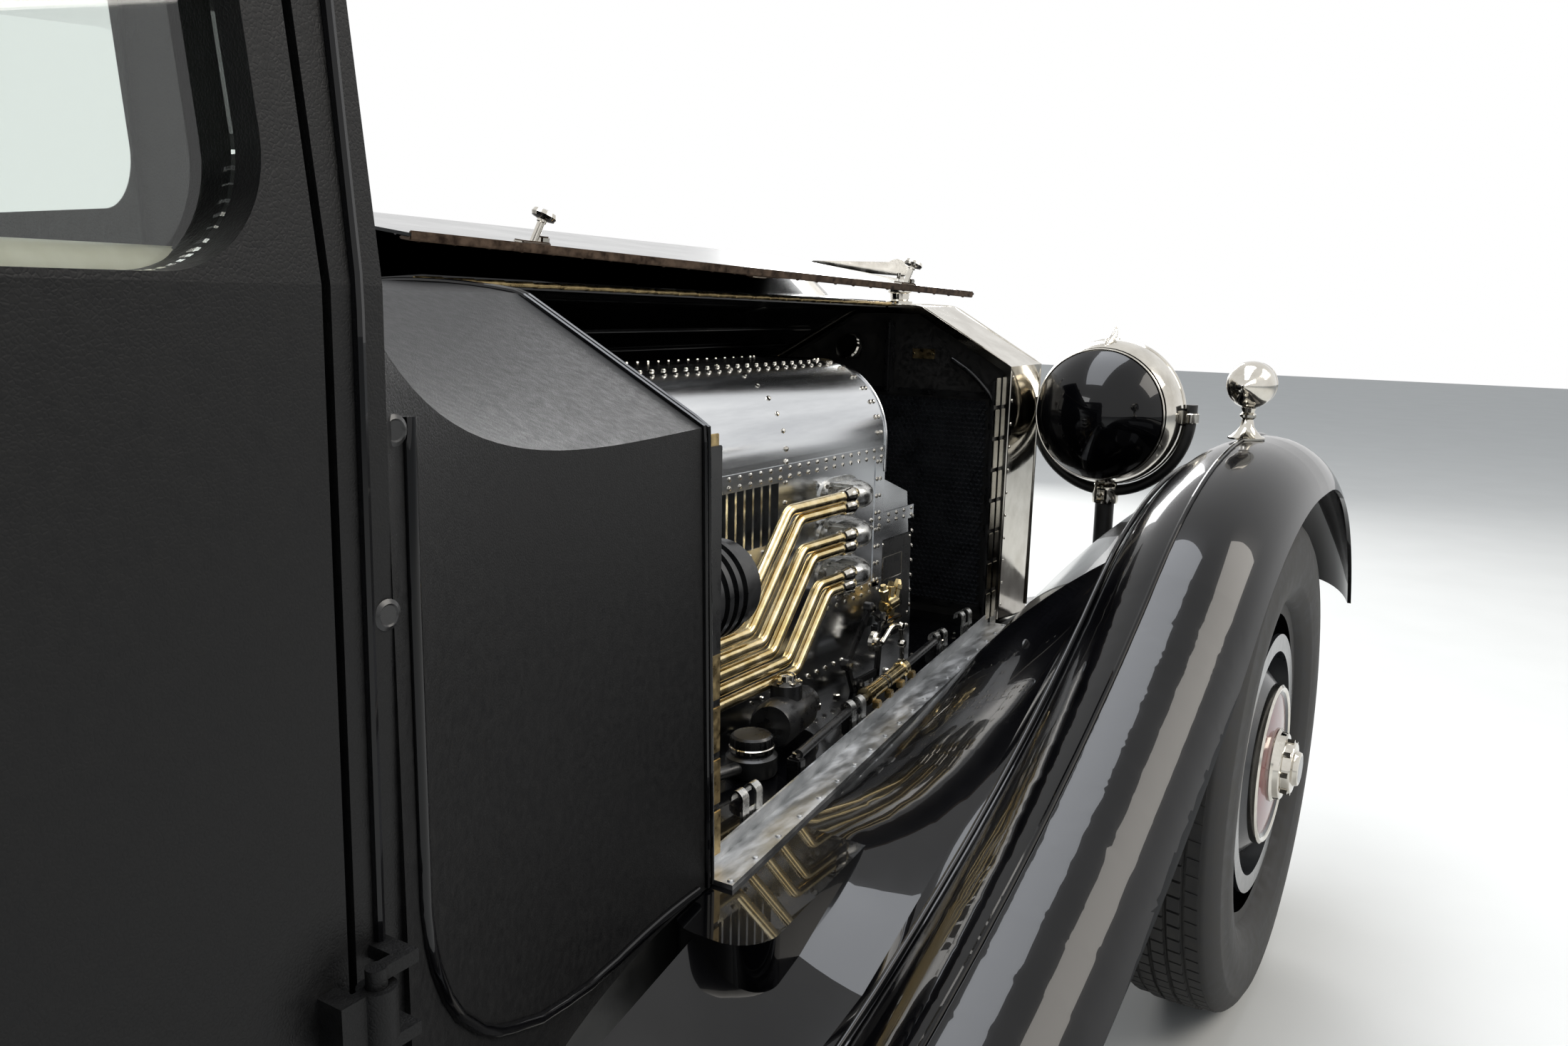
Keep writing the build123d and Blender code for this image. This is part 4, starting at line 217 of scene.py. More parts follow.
camera = {
    "place": (-0.170, -1.173, 1.245), "yaw": 32.0, "pitch": 10.46, "roll": 1.1,
    "lens": 28.0, "film": 36.0, "nearest": 0.02,
}


def makeCamera():
    yaw, pitch, roll = (radians(camera[k]) for k in ("yaw", "pitch", "roll"))
    forward = Vector((cos(pitch) * cos(yaw), cos(pitch) * sin(yaw), -sin(pitch)))
    right = Vector((sin(yaw), -cos(yaw), 0.0))
    down = forward.cross(right)
    across = cos(roll) * right - sin(roll) * down
    below = sin(roll) * right + cos(roll) * down
    data = bpy.data.cameras.new("photoCamera")
    data.lens = camera["lens"]
    data.sensor_width = camera["film"]
    data.clip_start = camera["nearest"]
    holder = linked("photoCamera", data)
    turn = Matrix((across, -below, -forward)).transposed().to_4x4()
    holder.matrix_world = Matrix.Translation(camera["place"]) @ turn
    bpy.context.scene.camera = holder


makeCamera()
bpy.context.scene.view_settings.view_transform = "Standard"

studio = {
    "floorHalf": 24.0,
    "floorColours": ("#CFCFCC", "#D8D8D5"),
    "floorRoughness": 0.85,
    "floorGrain": 3.0,
    "backdrop": "#FFFFFF",
    "fillColour": "#DDE3EA",
    "fillStrength": 0.6,
    "aim": (0.4, 0, 0.6),
    # name, place, size, watts, colour
    "lights": [
        ("keyLight", (3.5, -5.5, 5.2), (5.0, 3.0), 260.0, "#FFF9F0"),
        ("skyLight", (0.5, 0.5, 6.5), (7.0, 3.2), 430.0, "#F4F8FF"),
        ("rearLight", (-6.0, 4.0, 4.0), (4.0, 2.5), 170.0, "#FFFFFF"),
        ("noseLight", (7.0, 2.5, 2.6), (2.0, 3.0), 150.0, "#FFFFFF"),
    ],
}


def makeStudio():
    world = bpy.data.worlds.new("studioWorld")
    bpy.context.scene.world = world
    world.use_nodes = True
    tree = world.node_tree
    tree.nodes.clear()
    # the backdrop is what the camera, mirrors and glass see; the fill lights everything else
    path = addNode(tree, "ShaderNodeLightPath").outputs
    seen = path["Is Camera Ray"]
    for other in ("Is Glossy Ray", "Is Transmission Ray"):
        seen = addNode(tree, "ShaderNodeMath", {"operation": "MAXIMUM"}, {0: seen, 1: path[other]}).outputs[0]
    fill, shown = (
        addNode(tree, "ShaderNodeBackground", {"Color": linearColour(colour), "Strength": strength}).outputs[0]
        for colour, strength in ((studio["fillColour"], studio["fillStrength"]), (studio["backdrop"], 1.0)))
    mix = addNode(tree, "ShaderNodeMixShader", {}, {0: seen, 1: fill, 2: shown})
    addNode(tree, "ShaderNodeOutputWorld", {}, {"Surface": mix.outputs[0]})

    half = studio["floorHalf"]
    mesh = bpy.data.meshes.new("studioFloor")
    corners = [(-half, -half, 0), (half, -half, 0), (half, half, 0), (-half, half, 0)]
    mesh.from_pydata(corners, [], [(0, 1, 2, 3)])
    floor = linked("studioFloor", mesh)
    paper = bpy.data.materials.new("matt studio floor")
    paper.use_nodes = True
    tree = paper.node_tree
    shader = tree.nodes["Principled BSDF"]
    shader.inputs["Roughness"].default_value = studio["floorRoughness"]
    grain = addNode(tree, "ShaderNodeTexNoise", {"Scale": studio["floorGrain"], "Detail": 6.0},
        {"Vector": addNode(tree, "ShaderNodeTexCoord").outputs["Object"]})
    dark, light = (linearColour(colour) for colour in studio["floorColours"])
    tint = addNode(tree, "ShaderNodeMix", {"data_type": "RGBA", 6: dark, 7: light}, {0: grain.outputs["Fac"]})
    tree.links.new(tint.outputs[2], shader.inputs["Base Color"])
    mesh.materials.append(paper)

    for name, place, size, watts, colour in studio["lights"]:
        data = bpy.data.lights.new(name, "AREA")
        data.shape = "RECTANGLE"
        data.size, data.size_y = size
        data.energy = watts
        data.color = linearColour(colour)[:3]
        lamp = linked(name, data)
        lamp.location = place
        lamp.rotation_euler = (Vector(studio["aim"]) - Vector(place)).to_track_quat("-Z", "Y").to_euler()
    print("studio made")


makeStudio()


# Materials: each is one row of real values, from its colours to the size of its grain in millimetres

def makeMaterial(name, dark, light, grain, rough, shader, bumps, stretch=(1, 1, 1), contrast=(0.35, 0.65)):
    # bumps are (pattern, size in mm, height in mm) rows; shader holds the values that are the same all over
    material = bpy.data.materials.new(name)
    material.use_nodes = True
    tree = material.node_tree
    tree.nodes.clear()
    place = addNode(tree, "ShaderNodeTexCoord").outputs["Object"]
    stretched = addNode(tree, "ShaderNodeMapping", {"Scale": stretch}, {"Vector": place}).outputs[0]
    cloud = addNode(tree, "ShaderNodeTexNoise",
        {"Scale": 1000.0 / grain, "Detail": 5.0, "Roughness": 0.6},
        {"Vector": stretched}).outputs["Fac"]
    spread = addNode(tree, "ShaderNodeMapRange", {"From Min": contrast[0], "From Max": contrast[1]},
        {"Value": cloud})
    colours = {"data_type": "RGBA", 6: linearColour(dark), 7: linearColour(light)}
    tint = addNode(tree, "ShaderNodeMix", colours, {0: spread.outputs[0]}).outputs[2]
    gloss = addNode(tree, "ShaderNodeMapRange", {"To Min": rough[0], "To Max": rough[1]},
        {"Value": spread.outputs[0]}).outputs[0]
    normal = None
    for pattern, size, height in bumps:
        settings = {"Scale": 1000.0 / size}
        if pattern == "cells":
            relief = addNode(tree, "ShaderNodeTexVoronoi", {"feature": "DISTANCE_TO_EDGE", **settings},
                {"Vector": place})
            relief = addNode(tree, "ShaderNodeMapRange", {"From Max": 0.25},
                {"Value": relief.outputs["Distance"]})
        elif pattern == "brushed":
            relief = addNode(tree, "ShaderNodeTexNoise", {**settings, "Detail": 3.0}, {"Vector": stretched})
        else:
            relief = addNode(tree, "ShaderNodeTexNoise", {**settings, "Detail": 4.0}, {"Vector": place})
        bump = addNode(tree, "ShaderNodeBump", {"Strength": 1.0, "Distance": height / 1000.0},
            {"Height": relief.outputs[0], **({"Normal": normal} if normal else {})})
        normal = bump.outputs[0]
    body = addNode(tree, "ShaderNodeBsdfPrincipled", shader,
        {"Base Color": tint, "Roughness": gloss, "Normal": normal})
    addNode(tree, "ShaderNodeOutputMaterial", {}, {"Surface": body.outputs[0]})
    return material


metal = {"Metallic": 1.0}
lacquer = {"IOR": 1.5, "Specular IOR Level": 0.06, "Coat Weight": 0.55, "Coat Roughness": 0.015}
finishRows = {
    # pyroxylin-coated cotton, embossed and calendered: near black, dull sheen over a fine nap
    "coated cloth": ("#080809", "#131313", 9, (0.42, 0.58), {"IOR": 1.46, "Specular IOR Level": 0.24},
        [("cells", 2.6, 0.1), ("noise", 9, 0.3)], (1, 1, 1), (0.25, 0.75)),
    # cellulose lacquer, flatted and polished: deep black under a mirror coat
    "black lacquer": ("#020203", "#060608", 160, (0.16, 0.24), lacquer, [("noise", 260, 0.008)]),
    # stove enamel on chassis steel: half-gloss with dust in its hollows
    "chassis enamel": ("#0E0E0F", "#232322", 60, (0.32, 0.5), {"IOR": 1.5}, [("noise", 6, 0.12)]),
    # sprayed wheel enamel: grey-black satin
    "wheel enamel": ("#1B1D20", "#26282B", 45, (0.26, 0.36),
        {"IOR": 1.5, "Coat Weight": 0.6, "Coat Roughness": 0.12}, [("noise", 5, 0.05)]),
    # vulcanised rubber: dull black with a bloom of road dust
    "tyre rubber": ("#1A1A1B", "#302F2D", 24, (0.66, 0.86), {"IOR": 1.52}, [("noise", 2.5, 0.12)]),
    # nickel silver, buffed: warm mirror with faint swirls
    "buffed nickel": ("#BDB8AE", "#D6D2C9", 50, (0.06, 0.15), metal, [("noise", 30, 0.02)]),
    # sheet aluminium, polished along its length: bright, with hair lines
    "polished aluminium": ("#C2C4C7", "#DCDEE0", 60, (0.12, 0.24), metal,
        [("brushed", 10, 0.012)], (0.12, 1, 1)),
    # mill-finish aluminium angle: scuffed and dull
    "scuffed aluminium": ("#9EA0A1", "#C9CACB", 18, (0.3, 0.52), metal, [("noise", 7, 0.05)], (0.3, 1, 1)),
    # drawn brass tube, polished: pale gold with a little tarnish
    "drawn brass": ("#D2BA82", "#EBDAB0", 26, (0.12, 0.26), metal, [("noise", 10, 0.02)]),
    # hinge brass, handled: darker and dry
    "hinge brass": ("#94805A", "#C4AE80", 12, (0.25, 0.45), metal, [("noise", 4, 0.05)]),
    # bronze angle, brown with handling: dull, rubbed pale at its edges
    "brown bronze": ("#2C231D", "#5F5044", 16, (0.35, 0.55), metal, [("noise", 4, 0.08)]),
    # gravity-cast nickel bronze, fettled: soft grey with a sand skin
    "cast nickel": ("#A5A5A3", "#CFCFCC", 14, (0.2, 0.36), metal, [("noise", 3, 0.12)]),
    # vitreous maroon enamel, fired on the hub bands
    "maroon enamel": ("#4E0D14", "#6B141C", 30, (0.12, 0.2), lacquer, [("noise", 20, 0.02)]),
    # moulded phenolic and hose rubber: black, low shine
    "moulded black": ("#0B0B0C", "#191919", 30, (0.22, 0.4), {"IOR": 1.55}, [("noise", 3, 0.04)]),
    # dip-painted copper matrix: dead black, edges a little rubbed
    "matrix black": ("#070707", "#1D1B19", 9, (0.4, 0.65), {"IOR": 1.5}, [("noise", 2, 0.05)]),
    # wool carpet, cut pile
    "wool carpet": ("#3A2A20", "#5A4637", 7, (0.9, 1.0),
        {"Sheen Weight": 0.5, "Sheen Roughness": 0.5}, [("noise", 3, 1.2)]),
    # quarter-cut walnut under varnish: long dark figure, glassy coat
    "varnished walnut": ("#3B1F10", "#7C4A26", 16, (0.22, 0.32), lacquer,
        [("brushed", 3, 0.02)], (1.4, 0.09, 1), (0.3, 0.7)),
    # vegetable-tanned hide, pebbled and lightly creased
    "biscuit hide": ("#A98B62", "#C4A880", 60, (0.42, 0.6), {"IOR": 1.46, "Sheen Weight": 0.15},
        [("cells", 3.2, 0.25), ("noise", 30, 0.6)]),
    # cellulose-painted ash capping: ivory with a soft shine
    "ivory paint": ("#CFC8AE", "#E4DFCC", 40, (0.3, 0.42), {"IOR": 1.5}, [("noise", 12, 0.05)]),
    # oak-bark strap leather, dark with wax
    "saddle leather": ("#3A2113", "#57341E", 60, (0.42, 0.6), {"IOR": 1.46, "Sheen Weight": 0.15},
        [("cells", 3.2, 0.25), ("noise", 30, 0.6)]),
    # napped cream wool; here it faces the dials
    "headlining wool": ("#B7AC97", "#CBC1AD", 12, (0.9, 1.0),
        {"Sheen Weight": 0.6, "Sheen Roughness": 0.4}, [("noise", 2.5, 0.5)]),
}
finishes = {name: makeMaterial(name, *row) for name, row in finishRows.items()}


def makeGlass(name, tint, ribs=0.0):
    # ribs is the pitch of its flutes in millimetres, none if zero
    material = bpy.data.materials.new(name)
    material.use_nodes = True
    tree = material.node_tree
    shader = tree.nodes["Principled BSDF"]
    for key, value in {"Base Color": linearColour(tint), "Transmission Weight": 1.0, "IOR": 1.5}.items():
        shader.inputs[key].default_value = value
    place = addNode(tree, "ShaderNodeTexCoord").outputs["Object"]
    smear = addNode(tree, "ShaderNodeTexNoise", {"Scale": 9.0, "Detail": 5.0}, {"Vector": place})
    haze = addNode(tree, "ShaderNodeMapRange", {"From Min": 0.4, "From Max": 0.8, "To Max": 0.035},
        {"Value": smear.outputs["Fac"]})
    tree.links.new(haze.outputs[0], shader.inputs["Roughness"])
    if ribs:
        flutes = addNode(tree, "ShaderNodeTexWave", {"bands_direction": "Y", "Scale": 500.0 / ribs},
            {"Vector": place})
        bump = addNode(tree, "ShaderNodeBump", {"Distance": 0.002}, {"Height": flutes.outputs["Fac"]})
        tree.links.new(bump.outputs[0], shader.inputs["Normal"])
    return material


finishes["plate glass"] = makeGlass("plate glass", "#EDF2EF")
finishes["fluted glass"] = makeGlass("fluted glass", "#F6F8F8", 22.0)
finishes["ruby glass"] = makeGlass("ruby glass", "#8E0A0A", 8.0)

# which finish each CAD node wears where its own shape stays: the first row that its name begins with
nodeFinishes = {
    "plate glass": ("door_front_glass", "door_rear_glass", "fixed_glass"),
    "fluted glass": ("lamp_lenses",),
    "coated cloth": ("body_shell", "door_", "roof", "scuttle", "trunk"),
    "black lacquer": ("bonnet_left", "bonnet_right", "front_valances", "front_wings", "rear_wings",
        "running_boards", "bulkhead", "bay_tray"),
    "chassis enamel": ("chassis_frame", "leaf_springs", "front_axle", "rear_axle", "knuckle_", "track_rod",
        "wheel_houses", "lamp_stays"),
    "wheel enamel": ("spare_wheel", "wheel_front", "wheel_rear"),
    "tyre rubber": ("spare_tyre", "tyre_"),
    "buffed nickel": ("radiator_shell", "radiator_cap", "lamps"),
    "polished aluminium": ("drive_cover",),
    "scuffed aluminium": ("bonnet_ledges",),
    "drawn brass": ("coolant_pipes",),
    "hinge brass": ("bonnet_centre_rod",),
    "matrix black": ("radiator_core",),
    "moulded black": ("bay_fittings", "steering_"),
    "wool carpet": ("floor",),
    "varnished walnut": ("dashboard",),
    "biscuit hide": ("front_seats", "rear_seat"),
}
for name, node in nodes.items():
    finish = next(finish for finish, starts in nodeFinishes.items() if name.startswith(starts))
    for materialSlot in node.material_slots:
        materialSlot.material = finishes[finish]
print("finishes given to", len(nodes), "nodes")


# Geometry Nodes: copies of a part set evenly along guide lines, each turned to face out of the surface

def makeRepeatTree():
    tree = bpy.data.node_groups.new("copies along a line", "GeometryNodeTree")
    inputs = {"Guide": "Geometry", "Part": "Object", "Spacing": "Float", "Smallest": "Float",
        "Largest": "Float", "Seed": "Int", "Finish": "Material"}
    for label, kind in inputs.items():
        tree.interface.new_socket(label, in_out="INPUT", socket_type="NodeSocket" + kind)
    tree.interface.new_socket("Geometry", in_out="OUTPUT", socket_type="NodeSocketGeometry")
    given = tree.nodes.new("NodeGroupInput").outputs
    curve = addNode(tree, "GeometryNodeMeshToCurve", {}, {"Mesh": given["Guide"]})
    evened = addNode(tree, "GeometryNodeResampleCurve", {"mode": "LENGTH"},
        {"Curve": curve.outputs[0], "Length": given["Spacing"]})
    facing = addNode(tree, "GeometryNodeInputNamedAttribute", {"data_type": "FLOAT_VECTOR", "Name": "facing"})
    along = addNode(tree, "GeometryNodeInputTangent")
    turn = addNode(tree, "FunctionNodeAlignRotationToVector", {"axis": "Z"},
        {"Vector": facing.outputs["Attribute"]})
    turn = addNode(tree, "FunctionNodeAlignRotationToVector", {"axis": "X", "pivot_axis": "Z"},
        {"Rotation": turn.outputs[0], "Vector": along.outputs[0]})
    size = addNode(tree, "FunctionNodeRandomValue", {"data_type": "FLOAT"},
        {2: given["Smallest"], 3: given["Largest"], "Seed": given["Seed"]})
    part = addNode(tree, "GeometryNodeObjectInfo", {"transform_space": "ORIGINAL"}, {"Object": given["Part"]})
    copies = addNode(tree, "GeometryNodeInstanceOnPoints", {},
        {"Points": evened.outputs[0], "Instance": part.outputs["Geometry"],
            "Rotation": turn.outputs[0], "Scale": size.outputs[1]})
    real = addNode(tree, "GeometryNodeRealizeInstances", {}, {0: copies.outputs[0]})
    coated = addNode(tree, "GeometryNodeSetMaterial", {},
        {"Geometry": real.outputs[0], "Material": given["Finish"]})
    addNode(tree, "NodeGroupOutput", {}, {0: coated.outputs[0]})
    return tree


repeatTree = makeRepeatTree()


def modified(mesh, kind, settings):
    # an object that shows the mesh through one modifier
    holder = linked("holder", mesh)
    modifier = holder.modifiers.new("step", kind)
    for key, value in settings.items():
        setattr(modifier, key, value)
    return holder, modifier


def takenMesh(holder):
    # what the holder shows as a plain mesh, with nothing live left
    depsgraph = bpy.context.evaluated_depsgraph_get()
    result = bpy.data.meshes.new_from_object(holder.evaluated_get(depsgraph), depsgraph=depsgraph)
    bpy.data.objects.remove(holder)
    return result


def repeated(name, rows, makePart, spacing, finish, body="car", sizes=(1.0, 1.0), seed=1, sharp=38.0):
    # rows are (points, facing): facing is one direction, or one for each point
    bm = bmesh.new()
    makePart(bm)
    part = linked(name + "Part", meshFrom(name + "Part", bm))
    places, edges, facings = [], [], []
    for points, facing in rows:
        for i, point in enumerate(points):
            if i:
                edges.append((len(places) - 1, len(places)))
            places.append(Vector(point) * 0.001)
            facings.append(Vector(facing[i]) if hasattr(facing[0], "__len__") else Vector(facing))
    guide = bpy.data.meshes.new(name + "Guide")
    guide.from_pydata(places, edges, [])
    lines = guide.attributes.new("facing", "FLOAT_VECTOR", "POINT")
    for item, facing in zip(lines.data, facings):
        item.vector = facing.normalized()
    holder, modifier = modified(guide, "NODES", {"node_group": repeatTree})
    values = {"Part": part, "Spacing": spacing / 1000.0, "Smallest": sizes[0], "Largest": sizes[1],
        "Seed": seed, "Finish": finishes[finish]}
    for item in repeatTree.interface.items_tree:
        if item.name in values:
            modifier[item.identifier] = values[item.name]
    result = takenMesh(holder)
    bpy.data.objects.remove(part)
    result.name = name
    return showMesh(name, result, [finish], body, sharp)


def dome(radius, height, sides=8):
    # a round rivet head that stands on z = 0
    steps = [(radius, -0.5), (radius, height * 0.1), (radius * 0.75, height * 0.7), (0.0, height)]
    return lambda bm: turned(bm, steps, (0, 0, 0), (0, 0, 1), sides)


def bar(length, width, height, edge=0.4):
    return lambda bm: block(bm, (0, 0, height / 2), (length, width, height), edge)


def mirrored(rows):
    # the same guide lines on the car's other side
    def flip(v):
        return [flip(p) for p in v] if hasattr(v[0], "__len__") else (v[0], -v[1], v[2])
    return [(flip(points), flip(facing)) for points, facing in rows]


# Drive cover: lapped seams under double rivet rows, cast port hoods, slotted louvre over a painted-shade
# sheet, blank plate

cover = {
    "side": 200, "noseSide": 188, "shoulder": 132, "shoulderZ": 1006,
    "rivet": (4.3, 4.2), "rivetSizes": (0.92, 1.06), "pitch": 27, "seamHalf": 6.5,
    # double rows: z, from x, to x
    "seams": [(984, 964, 1700), (862, 1260, 1330), (862, 1618, 1700), (748, 1472, 1700)],
    # single rows up the side and on over the shoulder: x, from z, to z
    "uprights": [(1686, 760, 970), (1698, 760, 970), (1390, 1000, 905)],
    # rows along the top, in degrees down from its middle line, and where they end
    "topAngles": (5, 15), "topEnds": (970, 1676),
    # loose rows from (x, z) to (x, z)
    "sideRows": [((1305, 640), (1582, 640)), ((1305, 652), (1305, 735))],
    "noseRows": [((1722, 680), (1722, 850)), ((1856, 680), (1856, 850)),
        ((1728, 854), (1850, 854)), ((1728, 866), (1850, 866)),
        ((1728, 640), (1850, 640))],
    # lap strips: how far out, then low x, high x, low z, high z
    "laps": [(200, 962, 1716, 971.5, 996.5), (200, 1472, 1716, 735.5, 760.5),
        (200, 1679.5, 1704.5, 748, 972), (188, 1719, 1859, 847.5, 872.5)],
    "lapWidth": 25, "lapThick": 1.3, "bandX": 1692, "hemX": 1716, "hemLow": 950, "hemRadius": 3,
    "hoodX": 1554, "portZ": (931, 866, 802), "hood": (54, 58, 24),
    "flange": (46, 29, 20), "flangeThick": 4, "endBox": (9, 52, 50), "endBoxX": 1505,
    "screw": [(0, 0), (4.2, 0), (4.2, 4), (0, 4)],
    "cuff": [(9, -22), (11.6, -21), (11.6, -2), (12.6, 0), (12.6, 6), (9, 7)],
    "cuffX": 1500, "cuffY": -250, "cuffZ": (940, 922, 875, 857, 811, 793),
    # low x, high x, low z, high z
    "louvre": (1212, 1370, 879, 970), "louvreShadeDepth": 25,
    "panel": (1728, 1850, 661, 821), "panelThick": 3, "label": (1738, 1812, 748, 790),
    "labelWire": (1.6, 0.8), "panelScrew": [(3.4, 0), (3.4, 1), (2.2, 2.2), (0, 2.6)], "screwInset": 7,
}


def shoulderPoint(x, degreesDown, out=0.0):
    # a point on the rounded shoulder, counted down from the top, and the way it faces
    a = radians(degreesDown)
    radius = cover["shoulder"] + out
    middle = cover["side"] - cover["shoulder"]
    return (x, -middle - radius * sin(a), cover["shoulderZ"] + radius * cos(a)), (0, -sin(a), cos(a))


def shoulderRow(x, first=84, steps=10):
    places = [shoulderPoint(x, first - first * i / steps) for i in range(steps + 1)]
    return [p for p, f in places], [f for p, f in places]


def overShoulders(x, start=()):
    # a line over the cover, up one shoulder and down the other
    climb = [*start] + [shoulderPoint(x, a)[0] for a in range(90, -1, -6)]
    return climb + [(px, -py, pz) for px, py, pz in reversed(climb)]


def makeCoverRivets():
    side, nose, gap = -cover["side"], -cover["noseSide"], cover["seamHalf"]

    def flat(y, ends):
        return [(x, y, z) for x, z in ends], (0, -1, 0)

    rows = [flat(side, ((start, z + s * gap), (end, z + s * gap)))
        for z, start, end in cover["seams"] for s in (-1, 1)]
    for x, start, end in cover["uprights"]:
        rows += [flat(side, ((x, start), (x, end))), shoulderRow(x)]
    rows += [([shoulderPoint(x, angle)[0] for x in cover["topEnds"]], shoulderPoint(0, angle)[1])
        for angle in cover["topAngles"]]
    rows += [flat(side, ends) for ends in cover["sideRows"]] + [flat(nose,
        ends) for ends in cover["noseRows"]]
    repeated("coverRivets", rows + mirrored(rows), dome(*cover["rivet"]), cover["pitch"], "buffed nickel",
        sizes=cover["rivetSizes"])


def makeCoverSeams():
    bm = bmesh.new()
    half, thick = cover["lapWidth"] / 2, cover["lapThick"]
    for sign in (-1, 1):
        for out, *bounds in cover["laps"]:
            slab(bm, bounds, sign * out, 2 * thick, 0.5)
    swept(bm, overShoulders(cover["bandX"]), [(-half, 0), (half, 0), (half, thick), (-half, thick)])
    # a rolled hem round the front end of the tall part
    hem = overShoulders(cover["hemX"], [(cover["hemX"], -cover["side"], cover["hemLow"])])
    swept(bm, hem, roundSection(cover["hemRadius"], 8))
    finishPiece("coverSeams", bm, ["polished aluminium"])


def makePorts():
    side, hoodX, boxX = -cover["side"], cover["hoodX"], cover["endBoxX"]
    across, outwards, tall = cover["hood"]
    hood = [(across * (1 - abs(k / 8) ** 3) ** (1 / 3), tall * k / 8) for k in range(-8, 9)]
    long, high, shift = cover["flange"]
    flange = [(long * cos(radians(t)) + (shift if abs(t) < 90 else -shift), high * sin(radians(t)))
        for t in range(-180, 180, 12)]
    upright = Matrix(((1, 0, 0), (0, 0, 1), (0, 1, 0))).to_4x4()
    bm = bmesh.new()
    for z in cover["portZ"]:
        before = set(bm.verts)
        turned(bm, hood, (0, 0, 0), (0, 0, 1), 36)
        new = [v for v in bm.verts if v not in before]
        bmesh.ops.scale(bm, verts=new, vec=(1, outwards / across, 1))
        bmesh.ops.translate(bm, verts=new, vec=(hoodX, side, z))
        plate(bm, flange, cover["flangeThick"], Matrix.Translation((hoodX, side - 3.2, z)) @ upright, 0.8)
        block(bm, (boxX, side - 33, z), cover["endBox"], 5)
        for dz in (-19, 19):
            turned(bm, cover["screw"], (boxX - 4.5, side - 12, z + dz), (-1, 0, 0), 6)
    finishPiece("portHoods", bm, ["cast nickel"])

    bm = bmesh.new()
    for z in cover["cuffZ"]:
        turned(bm, cover["cuff"], (cover["cuffX"], cover["cuffY"], z), (1, 0, 0), 24)
    finishPiece("pipeCuffs", bm, ["buffed nickel"])


def makeCoverPlates():
    nose, thick = -cover["noseSide"], cover["panelThick"]
    bm = bmesh.new()
    # painted shade: a thin black sheet 25 mm inside the cover, behind the louvre slots, stands for the dark
    # inside of the cover; the nose panel below is a real black plate
    slab(bm, cover["louvre"], cover["louvreShadeDepth"] - cover["side"], 1.0, 0, 1)
    slab(bm, cover["panel"], nose - thick / 2, thick, 1.0)
    finishPiece("coverDarkPanels", bm, ["moulded black"])

    bm = bmesh.new()
    x0, x1, z0, z1 = cover["label"]
    wide, deep = cover["labelWire"]
    corners = [(x0, z0), (x1, z0), (x1, z1), (x0, z1)]
    for a, b in zip(corners, corners[1:] + corners[:1]):
        block(bm, ((a[0] + b[0]) / 2, nose - thick - 0.2, (a[1] + b[1]) / 2),
            (abs(a[0] - b[0]) + wide, deep, abs(a[1] - b[1]) + wide), 0.2)
    x0, x1, z0, z1 = cover["panel"]
    inset = cover["screwInset"]
    for z in (z0 + inset, z1 - inset):
        for x in (x0 + inset, x1 - inset):
            turned(bm, cover["panelScrew"], (x, nose - thick, z), (0, -1, 0), 12)
    finishPiece("labelFrame", bm, ["buffed nickel"])


makeCoverRivets()
makeCoverSeams()
makePorts()
makeCoverPlates()
print("drive cover dressed")


# Engine bay: control linkage, brass union, rods beside the ledge, reservoir, hooks

